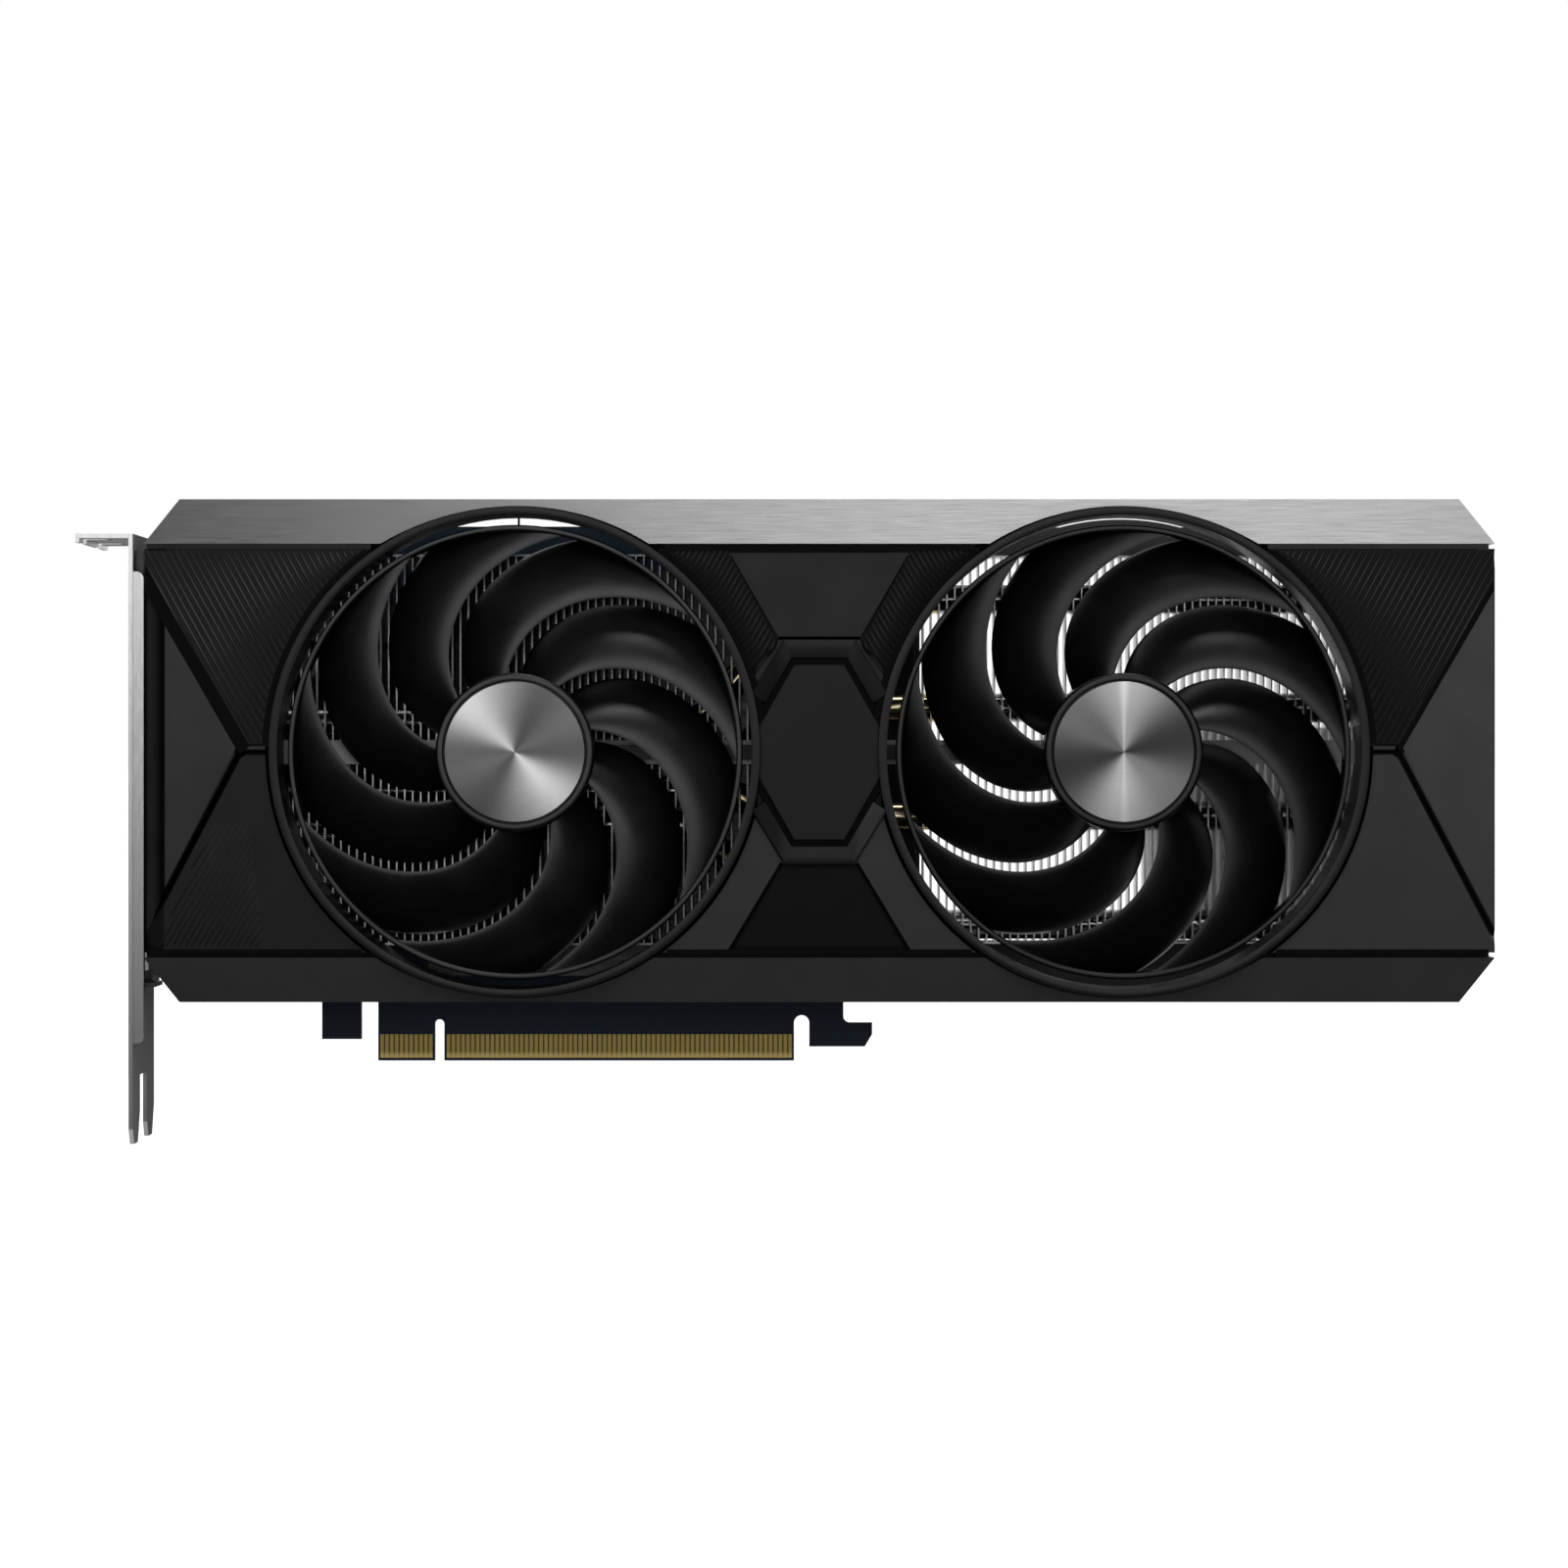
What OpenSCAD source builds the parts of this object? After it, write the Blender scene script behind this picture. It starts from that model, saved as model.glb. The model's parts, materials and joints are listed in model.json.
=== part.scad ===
// Dual-fan graphics card: cooler shroud, two spinning rotors, finned heatsink, circuit board and bracket.
// Origin: centre of the edge key, mid-plane of the board, tips of the edge contacts. +X runs away from the
// bracket, +Z up, and the fans face -Y.

/* [Card] */
// length of the cooler shroud
shroud_l = 266.9; // [262:0.1:280]
// distance from the board's mid-plane to the front face of the shroud
face_d = 36; // [35:0.1:38]
// height of the fan axes above the tips of the edge contacts
axis_h = 63.2; // [62.5:0.1:64]
// distance from the edge key to the outer face of the bracket
key_to_bracket = 58.8; // [58.2:0.1:59.4]

/* [Shroud] */
// wall of the shroud and its rails
wall = 1.6; // [1.4:0.1:2]
// height that the sloping front of a rail rises
bevel_rise = 9.2; // [8:0.1:10]
// depth of the sloping front of a rail
bevel_d = 8; // [6:0.5:10]
// length cut off a rail's corner at the outer edge
end_cut = 6; // [4:0.5:8]
// groove between the face and each rail
seam = 1; // [0.5:0.1:1.2]
// skin that a rail keeps outside a fan ring
rail_skin = 1.1; // [1:0.1:2]
// height of the shroud's middle above the fan axes
shroud_lift = 0.3; // [0:0.1:0.5]
// depth of the sunk fields of the face
relief = 0.6; // [0.3:0.1:0.9]
// width of the V-shaped lines of the face
vee_w = 1.4; // [1:0.1:2]
// depth of the V-shaped lines of the face
vee_d = 0.9; // [0.5:0.1:1.2]
// width of the sloping edge beside the bracket
edge_w = 4; // [2:0.5:6]
// height of the badge plate
badge_h = 34.4; // [30:0.2:36]
// width of the badge plate
badge_w = 25; // [22:0.2:26]

/* [Fans] */
// distance between the two fan axes
fan_pitch = 120.4; // [120:0.1:124]
// outside radius of a rotor's rim
fan_r = 45; // [43:0.1:45.2]
// wall of a rotor's rim
rim_t = 1.2; // [0.9:0.1:1.6]
// gap between a rotor's rim and its ring
tip_gap = 1.9; // [1:0.1:2.2]
// wall of a ring
ring_t = 1.6; // [1.2:0.1:2]
// outside radius of a rotor's hub
hub_r = 15.7; // [15:0.1:17]
// rim that a hub keeps outside its metal cap
cap_rim = 1.5; // [1.2:0.1:2]
// blades on a rotor
blade_count = 9; // [7:1:11]
// gap between two blades, seen from the front
blade_gap = 2.3; // [1.6:0.1:3]
// depth from a blade's leading edge to its trailing edge
blade_d = 8.2; // [7:0.1:8.4]
// thickness of a blade at mid-chord
blade_t = 1.3; // [1:0.1:1.6]
// radius of a rotor's shaft
shaft_r = 1.5; // [1.2:0.1:2]
// radial clearance of a shaft in its bearing
bearing_clear = 0.03; // [0.02:0.01:0.06]
// width of the arms that carry a motor
arm_w = 4.8; // [4:0.1:6]

/* [Heatsink] */
// distance between two fins
fin_pitch = 1.6; // [1.4:0.05:2]
// thickness of a fin
fin_t = 0.3; // [0.2:0.05:0.4]
// height of both fin stacks
fin_h = 78.4; // [74:0.2:79]
// radius of a heat pipe
pipe_r = 3; // [2.5:0.1:3.1]
// distance between the pipes in the open stack
pipe_pitch = 22; // [20:0.2:22.4]
// distance between the pipes on the cold plate
pipe_close = 6.9; // [6.6:0.1:8]

/* [Board] */
// thickness of the board
board_t = 1.6; // [1.5:0.05:1.7]
// height of the board above the contact tips
board_h = 109.4; // [108:0.1:111]
// length of the board to the right of the edge key
board_r = 97; // [94:0.5:97.5]
// thickness of the backplate
plate_t = 1.5; // [1.2:0.1:2]

/* [Bracket] */
// thickness of the bracket's sheet
sheet_t = 0.86; // [0.8:0.02:1]
// width of the bracket
bracket_w = 38.7; // [38:0.1:39.5]
// height of the bracket from tongue tips to top
bracket_h = 120.8; // [119:0.1:121]
// height of the bracket's top above the contact tips
bracket_rise = 106.4; // [105.5:0.1:107]
// length of the bracket's top flange
flange_l = 11.4; // [11:0.1:12]
// radius of the screw notches in the flange
notch_r = 2.2; // [2:0.05:2.4]

/* [Hidden] */
$fn = 64;
eps = 0.02;
// shroud and ring outline, in the front frame
half_t = board_t / 2;
x0 = -key_to_bracket + 3.1;
x1 = x0 + shroud_l;
mid_x = (x0 + x1) / 2;
left_x = mid_x - fan_pitch / 2;
right_x = mid_x + fan_pitch / 2;
open_r = fan_r + tip_gap;
ring_r = open_r + ring_t;
rail_clear = 0.5;
half_h = ring_r + rail_clear + rail_skin;
rail_y = half_h - bevel_rise;
face_y = rail_y - seam;
ring_proud = 1;
ring_mid = open_r + ring_t / 2;
ring_back = 21.5;
ring_slot = 0.7;
edge_d = 1.4;
flange_d = 6;
foot_t = 1.5;
// fan depths, from the board's mid-plane towards the front
arm_t = 2;
lead_w = 3;
lead_t = 0.8;
arm_front = ring_back + arm_t;
hub_back = arm_front + lead_t + 0.4;
hub_front = face_d;
hub_wall = 1.3;
cap_t = 1;
cap_r = hub_r - cap_rim;
blade_front = face_d - 1.8;
rim_front = face_d - 1.6;
rim_d = 5.5;
magnet_t = 1.6;
air_gap = 0.4;
magnet_r = hub_r - hub_wall;
stator_r = magnet_r - magnet_t - air_gap;
tube_r = 4.6;
bush_r = 3.2;
bush_front = face_d - 4.6;
bush_floor = 0.4;
shaft_lift = bush_floor + 0.4;
// heights above the fan axes that follow the board's top edge
board_top = board_h - axis_h;
core_y = board_top - 50.6;
pipe_mid = board_top - 48.2;
fin_mid = board_top - 45.7;
phase_y = board_top - 47.2;
can_y = [board_top - 28.2, board_top - 85];
// posts stand clear of the longest ports
port_l = 20.6;
port_in = 0.3;
post_r = 2.6;
post_x = -key_to_bracket + port_in + port_l + post_r + 0.7;
// heatsink depths
die_t = 0.9;
die_top = half_t + 1.2 + die_t;
memory_t = 1.1;
mosfet_t = 1;
phase_pitch = 9;
cold_t = 2;
pipe_z = die_top + cold_t + pipe_r;
near_z = pipe_z + pipe_r;
near_d = ring_back - 0.7 - near_z;
open_z = pipe_z - pipe_r - 0.4;
open_d = 2 * pipe_r + 4;
core_x = 35;
cold_x0 = core_x - 37;
cold_x1 = core_x + 41;
cold_half = 41.2;
spring_at = 26;
spring_r = 1.3;
spring_clear = 0.4;
clip_t = 1.2;
clip_l = 82;
clip_w = 10;
near_x0 = post_x + post_r + 0.8;
near_end = cold_x1 - 2;
near_n = floor((near_end - near_x0) / fin_pitch);
open_x0 = board_r + 1.6;
open_n = floor((x1 - 14 - open_x0) / fin_pitch);
open_x1 = open_x0 + open_n * fin_pitch + fin_t;
pipe_clear = 0.05;
bend_r = 12;
first_bend = 47;
stagger = 9;
leg_l = 44;
leg_in = 16;
draw_in = 0.03;
tuck = 0.5;
// board and backplate
board_x0 = -key_to_bracket + sheet_t + 1.2;
board_foot = 12.8;
board_low = board_foot - axis_h;
board_corner = 5.6;
retainer_x = -24.1;
retainer_w = 8.1;
retainer_y = 4.4;
key_w = 1.9;
row_a = 11.65;
row_b = 71.65;
hook_x = 82.7;
hook_y = 2.9;
hook_top = 7.8;
hook_fillet = 1.3;
plate_gap = 1.6;
plate_z = -half_t - plate_gap - plate_t;
plate_y0 = 0.8 - half_h;
window_x0 = board_r + 1.4;
window_x1 = x1 - 11;
window_y0 = fin_mid - fin_h / 2;
window_y1 = fin_mid + fin_h / 2;
bar_h = 3;
end_post_x = x1 - 6;
post_y = face_y - 6.2;
screw_r = 1.1;
// bracket
bracket_x = -key_to_bracket;
bracket_top = bracket_rise - axis_h;
bracket_back = 3.1;
port_y = [for (d = [21.2, 39, 64.2]) bracket_top - d];
hdmi_y = bracket_top - 81.2;
tab_y = [for (d = [7.2, 51.8]) bracket_top - d];
lip_top = bracket_top - 7.5;
lip_low = bracket_top - 100.8;
lip_round = 1.4;
ledge_y = bracket_top - 89.6;
ledge_l = 3;
vent_y = bracket_top - 15.2;
vent_h = 4;
vent_pitch = 7;
vent_n = 11;
vent_z = [13, 31];
tab_w = 8;
tab_l = 9.4;
tab_hole = 6.4;
dp_w = 16.4;
dp_h = 6.2;
hdmi_w = 15;
hdmi_h = 5.6;
port_wall = 0.7;
port_clear = 0.2;

// front frame: x along the card, y above the fan axes, z towards the viewer from the board's mid-plane
module front() {
  translate([0, 0, axis_h]) rotate([90, 0, 0]) children();
}

module at_fan(x) {
  front() translate([x, 0, 0]) children();
}

module each_fan() {
  translate([left_x, 0, 0]) children();
  translate([right_x, 0, 0]) children();
}

module box(x, y, z) {
  translate([x[0], y[0], z[0]]) cube([x[1] - x[0], y[1] - y[0], z[1] - z[0]]);
}

// the four screws round the processor
module at_springs() {
  for (a = [-1, 1])
    for (b = [-1, 1])
      translate([core_x + a * spring_at, core_y + b * spring_at, 0]) children();
}

// box of size s centred on c, standing on depth z
module chip(c, s, z) {
  translate([c[0] - s[0] / 2, c[1] - s[1] / 2, z]) cube([s[0], s[1], s[2]]);
}

// V-shaped line from p to q, w wide and d deep, cut from the face
module vee(p, q, w, d) {
  v = q - p;
  wide = w / 2 * (1 + 1 / d);
  translate([p[0], p[1], face_d])
    rotate([0, 0, atan2(v[1], v[0])])
      translate([-w / 2, 0, 0]) rotate([90, 0, 90])
        linear_extrude(norm(v) + w) polygon([[0, -d], [wide, 1], [-wide, 1]]);
}

module sunk(points, depth) {
  translate([mid_x, 0, face_d - depth]) linear_extrude(depth + 1) polygon(points);
}

// elongated octagon of height h and width w, with its slanted sides at one slope
function octagon(w, h, flat) = [
  [-flat, h / 2], [flat, h / 2], [w / 2, 0.11 * h], [w / 2, -0.11 * h],
  [flat, -h / 2], [-flat, -h / 2], [-w / 2, -0.11 * h], [-w / 2, 0.11 * h]
];

badge_flat = 4.9;
badge_slit = 1.5;
frame_w = 5;
frame_y = badge_h / 2 + frame_w;
frame_rise = 0.4;
frame_slope = 2;
tri_x = shroud_l / 2 - 0.8;
tri_y = [face_y - 3, 5 - face_y];
apex_x = shroud_l / 2 - 19;
inner_x = fan_pitch / 2 - ring_r;
field_top = face_y - 1;

// ribbed fields beside a fan: one towards the end of the card and one towards the badge
module sunk_fields(side) {
  translate([mid_x, 0, 0]) mirror([side, 0, 0]) translate([-mid_x, 0, 0]) {
    sunk([[-tri_x + 1, field_top], [-fan_pitch / 2, field_top], [-fan_pitch / 2 - 36, 1.2],
      [-apex_x - 0.4, 1.2]], relief);
    sunk([[-fan_pitch / 2, field_top], [-17.4, field_top], [-8, frame_y + 0.4], [-8.6, 20.4],
      [-inner_x - 1.8, 14.2], [-fan_pitch / 2, 14.2]], relief);
  }
}

// lines round the end triangle, carried on to the edge of the face
module face_lines(side) {
  reach = 1.06;
  translate([mid_x, 0, 0]) mirror([side, 0, 0]) {
    apex = [-apex_x, 0];
    vee(apex, apex + reach * ([-tri_x, tri_y[0]] - apex), 1.5 * vee_w, vee_d);
    vee(apex, apex + reach * ([-tri_x, tri_y[1]] - apex), vee_w, vee_d);
    vee(apex, [-fan_pitch / 2 - ring_r, 0], 0.8 * vee_w, 0.8 * vee_d);
  }
}

// lines above and below the badge frame
module frame_lines() {
  translate([mid_x, 0, 0]) {
    vee([-8, frame_y + 0.3], [8, frame_y + 0.3], 0.5 * vee_w, 0.5 * vee_d);
    for (s = [-1, 1])
      vee([s * 7.6, -frame_y], [s * 17.6, 1 - face_y], 0.5 * vee_w, 0.5 * vee_d);
  }
}

// octagonal well of the badge, with its long sides sloping out to the frame
module badge_well() {
  rim = octagon(badge_w + 2 * badge_slit, badge_h + 2 * badge_slit, badge_flat + 0.6);
  translate([mid_x, 0, face_d - relief]) linear_extrude(relief + frame_rise + 1) polygon(rim);
  translate([mid_x, 0, 0]) for (i = [0, 1, 3, 4, 5, 7])
    vee(rim[i], rim[(i + 1) % 8], 2 * frame_slope, 1.1 * vee_d);
}

// wall of a fan ring with a rounded lip
module ring_wall() {
  lip_z = face_d + ring_proud - ring_t / 2;
  lip = [for (a = [0:30:180]) [ring_mid + ring_t / 2 * cos(a), lip_z + ring_t / 2 * sin(a)]];
  rotate_extrude() polygon(concat([[open_r, ring_back], [ring_r, ring_back]], lip));
}

// sloping line in the face round a ring
module ring_line() {
  spread = ring_slot * (1 + 1 / vee_d);
  floor_z = face_d - vee_d;
  rotate_extrude() polygon([[ring_mid, floor_z], [ring_r, floor_z], [ring_r + spread, face_d + 1],
    [ring_mid, face_d + 1]]);
}

// the face slopes back beside the bracket
module edge_slope() {
  fall = edge_d / edge_w;
  translate([0, half_h, 0]) rotate([90, 0, 0]) linear_extrude(2 * half_h)
    polygon([[x0 - 1, face_d - edge_d - fall], [x0 + edge_w + 1 / fall, face_d + 1], [x0 - 1, face_d + 1]]);
}

module post(x, z) {
  for (s = [-1, 1])
    translate([x, s * post_y, z]) difference() {
      cylinder(r = post_r, h = face_d - wall - z + eps);
      translate([0, 0, -eps]) cylinder(r = screw_r, h = 8);
    }
}

tab_in = 0.3;
tab_back = 24;
mark_w = 0.4;

module shroud() color([0.13, 0.13, 0.13]) front() {
  top = shroud_lift + face_y;
  low = shroud_lift - face_y;
  difference() {
    union() {
      difference() {
        union() {
          box([x0, x1], [low, top], [face_d - wall - relief, face_d]);
          for (y = [low, top - wall])
            box([x0, x1], [y, y + wall], [face_d - flange_d, face_d]);
          for (x = [x0, x1 - wall])
            box([x, x + wall], [low, top], [ring_back - 6, face_d]);
          translate([mid_x, 0, face_d - eps])
            linear_extrude(frame_rise + eps)
              polygon(octagon(badge_w + 2 * frame_w, badge_h + 2 * frame_w, badge_flat + 2));
        }
        for (side = [0, 1]) {
          sunk_fields(side);
          face_lines(side);
        }
        sunk([[-7.4, -frame_y], [7.4, -frame_y], [17.3, 1 - face_y], [-17.3, 1 - face_y]], relief);
        frame_lines();
        badge_well();
        edge_slope();
        each_fan() ring_line();
        each_fan() translate([0, 0, ring_back - 1]) cylinder(r = ring_mid, h = face_d);
      }
      each_fan() ring_wall();
      post(post_x, half_t);
      post(end_post_x, -half_t - plate_gap);
      box([bracket_x + sheet_t + tab_in, x0 + wall / 2], [lip_top - 1.2, top - 0.2],
        [tab_back, face_d - edge_d - 0.4]);
      translate([left_x - mark_w / 2, open_r - 1.6, ring_back]) cube([mark_w, 1.6 + ring_t / 2, 1.2]);
    }
    each_fan() for (s = [-1, 1])
      box(s > 0 ? [open_r - 2, ring_r + 1] : [-ring_r - 1, 2 - open_r], [-arm_w / 2, arm_w / 2],
        [ring_back - 1, arm_front + lead_t]);
  }
}

// section of a rail in (y, z): sloping front, outer wall, inner leg and a foot under the face's flange
slope = bevel_d / bevel_rise;
skew = sqrt(1 + slope * slope);
foot_z = face_d - flange_d - foot_t;
rail_section = [
  [rail_y, face_d], [half_h, face_d - bevel_d], [half_h, ring_back], [half_h - wall, ring_back],
  [half_h - wall, face_d - bevel_d + wall * (slope - skew)],
  [rail_y + wall, face_d - wall * (slope + skew)], [rail_y + wall, foot_z],
  [face_y - 3, foot_z], [face_y - 3, foot_z + foot_t], [rail_y, foot_z + foot_t]
];
rail_block = [[rail_y, face_d], [half_h, face_d - bevel_d], [half_h, ring_back], [rail_y, ring_back]];

module along_x(points) {
  translate([x0, 0, 0]) rotate([90, 0, 90]) linear_extrude(shroud_l) polygon(points);
}

// outline of a rail from the front, drawn in at its ends, with its foot clear of the shroud's end walls
module rail_front(inset) {
  foot_in = wall + 0.4;
  groove_in = 0.8;
  bed = face_y + 0.2;
  translate([0, 0, ring_back - 1]) linear_extrude(face_d)
    polygon([[x0 + foot_in, 0], [x0 + foot_in, bed], [x0 + groove_in, bed], [x0 + groove_in, rail_y],
      [x0 + inset, rail_y], [x0 + end_cut + inset, half_h], [x1 - end_cut - inset, half_h],
      [x1 - inset, rail_y], [x1 - groove_in, rail_y], [x1 - groove_in, bed], [x1 - foot_in, bed],
      [x1 - foot_in, 0]]);
}

// rail above the face, shifted up by lift and cut clear of the fan rings
module rail(lift) {
  difference() {
    translate([0, lift, 0]) intersection() {
      rail_front(0);
      union() {
        along_x(rail_section);
        difference() {
          along_x(rail_block);
          rail_front(wall);
        }
      }
    }
    each_fan() translate([0, 0, ring_back - 2]) cylinder(r = ring_r + rail_clear, h = face_d);
  }
}

module top_rail() color([0.45, 0.45, 0.46]) front() rail(shroud_lift);

module bottom_rail() color([0.3, 0.3, 0.31]) front() mirror([0, 1, 0]) rail(-shroud_lift);

module centre_badge() color([0.1, 0.1, 0.1]) front() difference() {
  translate([mid_x, 0, face_d - relief]) linear_extrude(relief + 0.5)
    polygon(octagon(badge_w, badge_h, badge_flat));
  each_fan() translate([0, 0, ring_back]) cylinder(r = ring_r + 0.1, h = face_d);
}

// corner of the board and the backplate behind the shroud's lower left end
module corner_cut() {
  polygon([[board_x0 - 1, board_low - 1], [board_x0 + board_corner + 1, board_low - 1],
    [board_x0 - 1, board_low + board_corner + 1]]);
}

module backplate() color([0.2, 0.2, 0.21]) front() difference() {
  union() {
    box([board_x0, x1 - 3], [plate_y0, board_top], [plate_z, plate_z + plate_t]);
    for (s = [-1, 1])
      translate([post_x, s * post_y, plate_z]) cylinder(r = post_r + 1, h = plate_t + plate_gap);
    for (x = [4, board_r - 6])
      for (y = [board_top - 4, plate_y0 + 6])
        translate([x, y, plate_z]) cylinder(r = 3, h = plate_t + plate_gap);
  }
  difference() {
    box([window_x0, window_x1], [window_y0, window_y1], [plate_z - 1, 0]);
    for (i = [-1.5:1:1.5])
      chip([(window_x0 + window_x1) / 2, pipe_mid + i * pipe_pitch], [shroud_l, bar_h, 9], plate_z - 2);
    for (y = [window_y0 + 1.2:2.4:5])
      box([right_x + 6, window_x1 + 1], [y, y + 1.2], [plate_z - 2, 1]);
  }
  for (x = [post_x, end_post_x])
    for (s = [-1, 1])
      translate([x, s * post_y, plate_z - 1]) cylinder(r = screw_r + 0.2, h = 9);
  at_springs() translate([0, 0, plate_z - 1]) cylinder(r = 4.5, h = 9);
  translate([0, 0, plate_z - 1]) linear_extrude(plate_t + 2) corner_cut();
}

module board_outline() {
  v = -axis_h;
  difference() {
    union() {
      translate([board_x0, v + board_foot]) square([board_r - board_x0, board_h - board_foot]);
      translate([retainer_x, v + retainer_y]) square([retainer_w, board_foot]);
      translate([-key_w / 2 - row_a, v]) square([row_a + key_w + row_b, board_foot + 1]);
      translate([hook_x - 7, v + hook_y]) square([7, board_foot]);
      polygon([[hook_x - 2, v + hook_y], [hook_x + 4.4, v + hook_y], [hook_x + 5.9, v + 5.4],
        [hook_x + 5.9, v + hook_top], [hook_x - 2, v + hook_top]]);
      translate([hook_x, v + hook_top]) difference() {
        translate([-1, -1]) square(1 + hook_fillet);
        translate([hook_fillet, hook_fillet]) circle(r = hook_fillet);
      }
    }
    corner_cut();
    translate([-key_w / 2, v - 1]) square([key_w, 8.5]);
    translate([0, v + 7.5]) circle(r = key_w / 2);
    for (s = [-1, 1])
      translate([post_x, s * post_y]) circle(r = screw_r + 0.2);
    at_springs() circle(r = spring_r + spring_clear);
    for (y = tab_y)
      translate([bracket_x + tab_hole, y]) circle(r = screw_r);
  }
  difference() {
    translate([key_w / 2 + row_b, v + 8]) square([3.4, 6]);
    translate([74.15, v + 7.75]) circle(r = 1.55);
  }
}

module pcb() color([0.07, 0.1, 0.13]) front()
  translate([0, 0, -half_t]) linear_extrude(board_t) board_outline();

module edge_contacts() color([0.72, 0.58, 0.3]) front() {
  skin = 0.08;
  finger = [0.7, 4.8, skin];
  mid_y = 3 - axis_h;
  for (z = [half_t, -half_t - skin]) {
    for (i = [0:10]) chip([-key_w / 2 - 0.85 - i, mid_y], finger, z);
    for (i = [0:70]) chip([key_w / 2 + 0.85 + i, mid_y], finger, z);
  }
}

module port_holes() {
  for (y = port_y)
    chip([bracket_x, y], [9, dp_w + 2 * port_clear, dp_h + 2 * port_clear], half_t - port_clear);
  chip([bracket_x, hdmi_y], [9, hdmi_w + 2 * port_clear, hdmi_h + 2 * port_clear], half_t - port_clear);
}

tongue_top = -1.2 - axis_h;
tongue_w = 10.2;
tongue_pitch = 20.32;
tongue_in = 0.2;

// front lip with rounded corners on its free side
module lip() {
  w = x0 - 0.1 - bracket_x;
  h = lip_top - lip_low;
  translate([bracket_x, lip_low]) {
    square([w - lip_round, h]);
    translate([0, lip_round]) square([w, h - 2 * lip_round]);
    for (y = [lip_round, h - lip_round])
      translate([w - lip_round, y]) circle(r = lip_round);
  }
}

module bracket() color([0.72, 0.72, 0.72]) front() {
  back = -bracket_back;
  edge = bracket_w - bracket_back;
  foot = bracket_top - bracket_h;
  tongue_z = [for (i = [0, 1]) edge - tongue_in - i * tongue_pitch];
  difference() {
    union() {
      box([bracket_x, bracket_x + sheet_t], [ledge_y - sheet_t, bracket_top], [back, edge]);
      box([bracket_x, bracket_x + sheet_t], [tongue_top, ledge_y], [tongue_z[1] - tongue_w, edge]);
      for (z = tongue_z)
        translate([bracket_x, 0, z]) rotate([0, 90, 0])
          linear_extrude(sheet_t) polygon([[0, tongue_top + 1], [0, foot + 3], [2, foot],
            [tongue_w - 3, foot], [tongue_w, foot + 6], [tongue_w, tongue_top + 1]]);
      box([bracket_x, bracket_x + ledge_l], [ledge_y - sheet_t, ledge_y],
        [tongue_z[1] - tongue_w + 3, tongue_z[1] + 4]);
      box([bracket_x + sheet_t - flange_l, bracket_x + sheet_t], [bracket_top - sheet_t, bracket_top],
        [back, edge]);
      box([bracket_x + sheet_t - flange_l, bracket_x + 2 * sheet_t - flange_l],
        [bracket_top - 2 * sheet_t, bracket_top], [back, edge]);
      translate([0, 0, edge - sheet_t]) linear_extrude(sheet_t) lip();
      for (y = tab_y)
        box([bracket_x, bracket_x + tab_l], [y - tab_w / 2, y + tab_w / 2], [half_t, half_t + sheet_t]);
    }
    port_holes();
    for (i = [0:vent_n - 1])
      chip([bracket_x, vent_y - i * vent_pitch], [9, vent_h, vent_z[1] - vent_z[0]], vent_z[0]);
    for (i = [0, 1])
      translate([bracket_x - flange_l + sheet_t, 0, edge - 7.4 - i * tongue_pitch]) {
        translate([4.4, bracket_top + 1, 0]) rotate([90, 0, 0]) cylinder(r = notch_r, h = 4);
        box([-1, 4.4], [bracket_top - 4, bracket_top + 1], [-notch_r, notch_r]);
      }
    for (y = tab_y)
      translate([bracket_x + tab_hole, y, 0]) cylinder(r = screw_r, h = 9);
  }
}

// metal shell of a port, open towards the bracket's outer face
module port(y, w, h, l) {
  difference() {
    chip([bracket_x + port_in + l / 2, y], [l, w, h], half_t);
    chip([bracket_x + l / 2 - 4, y], [l, w - 2 * port_wall, h - 2 * port_wall], half_t + port_wall);
  }
}

module displayport_connectors() color([0.5, 0.5, 0.52]) front() for (y = port_y) port(y, dp_w, dp_h, port_l);

module hdmi_connector() color([0.5, 0.5, 0.52]) front() port(hdmi_y, hdmi_w, hdmi_h, 13.8);

power_l = 19.2;
power_x = board_r - 1 - power_l / 2;
pin_pitch = 4.2;

module power_connector() color([0.06, 0.06, 0.06]) front() difference() {
  box([power_x - power_l / 2, power_x + power_l / 2], [board_top - 9, board_top], [half_t, half_t + 11]);
  for (i = [-1.5:1:1.5])
    for (j = [0, 1])
      translate([power_x + i * pin_pitch, board_top + 1, half_t + 3 + j * 4.6])
        rotate([90, 0, 0]) cylinder(r = 1.6, h = 8);
}

module gpu_package() color([0.12, 0.3, 0.2]) front()
  chip([core_x, core_y], [42, 42, die_top - die_t - half_t], half_t);

module gpu_die() color([0.35, 0.35, 0.4]) front() chip([core_x, core_y], [22, 18, die_t], die_top - die_t);

memory_size = [12, 14];
memory_pitch = 17;
memory_out = 34;
memory_side = 9;

module memory_spots(size, z) {
  for (i = [-1, 0, 1])
    for (s = [-1, 1])
      chip([core_x + i * memory_pitch, core_y + s * memory_out], [memory_size[0], memory_size[1], size], z);
  for (s = [-1, 1])
    chip([core_x + memory_out, core_y + s * memory_side], [memory_size[1], memory_size[0], size], z);
}

module memory_chips() color([0.1, 0.1, 0.1]) front() memory_spots(memory_t, half_t);

module memory_pads() color([0.55, 0.6, 0.65]) front()
  memory_spots(die_top - half_t - memory_t, half_t + memory_t);

module mosfets() color([0.1, 0.1, 0.1]) front() for (i = [-3:3])
  chip([2, phase_y - i * phase_pitch], [5, 6, mosfet_t], half_t);

module mosfet_pads() color([0.55, 0.6, 0.65]) front()
  chip([2, phase_y], [5, 6 * phase_pitch + 6, die_top - half_t - mosfet_t], half_t + mosfet_t);

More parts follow.
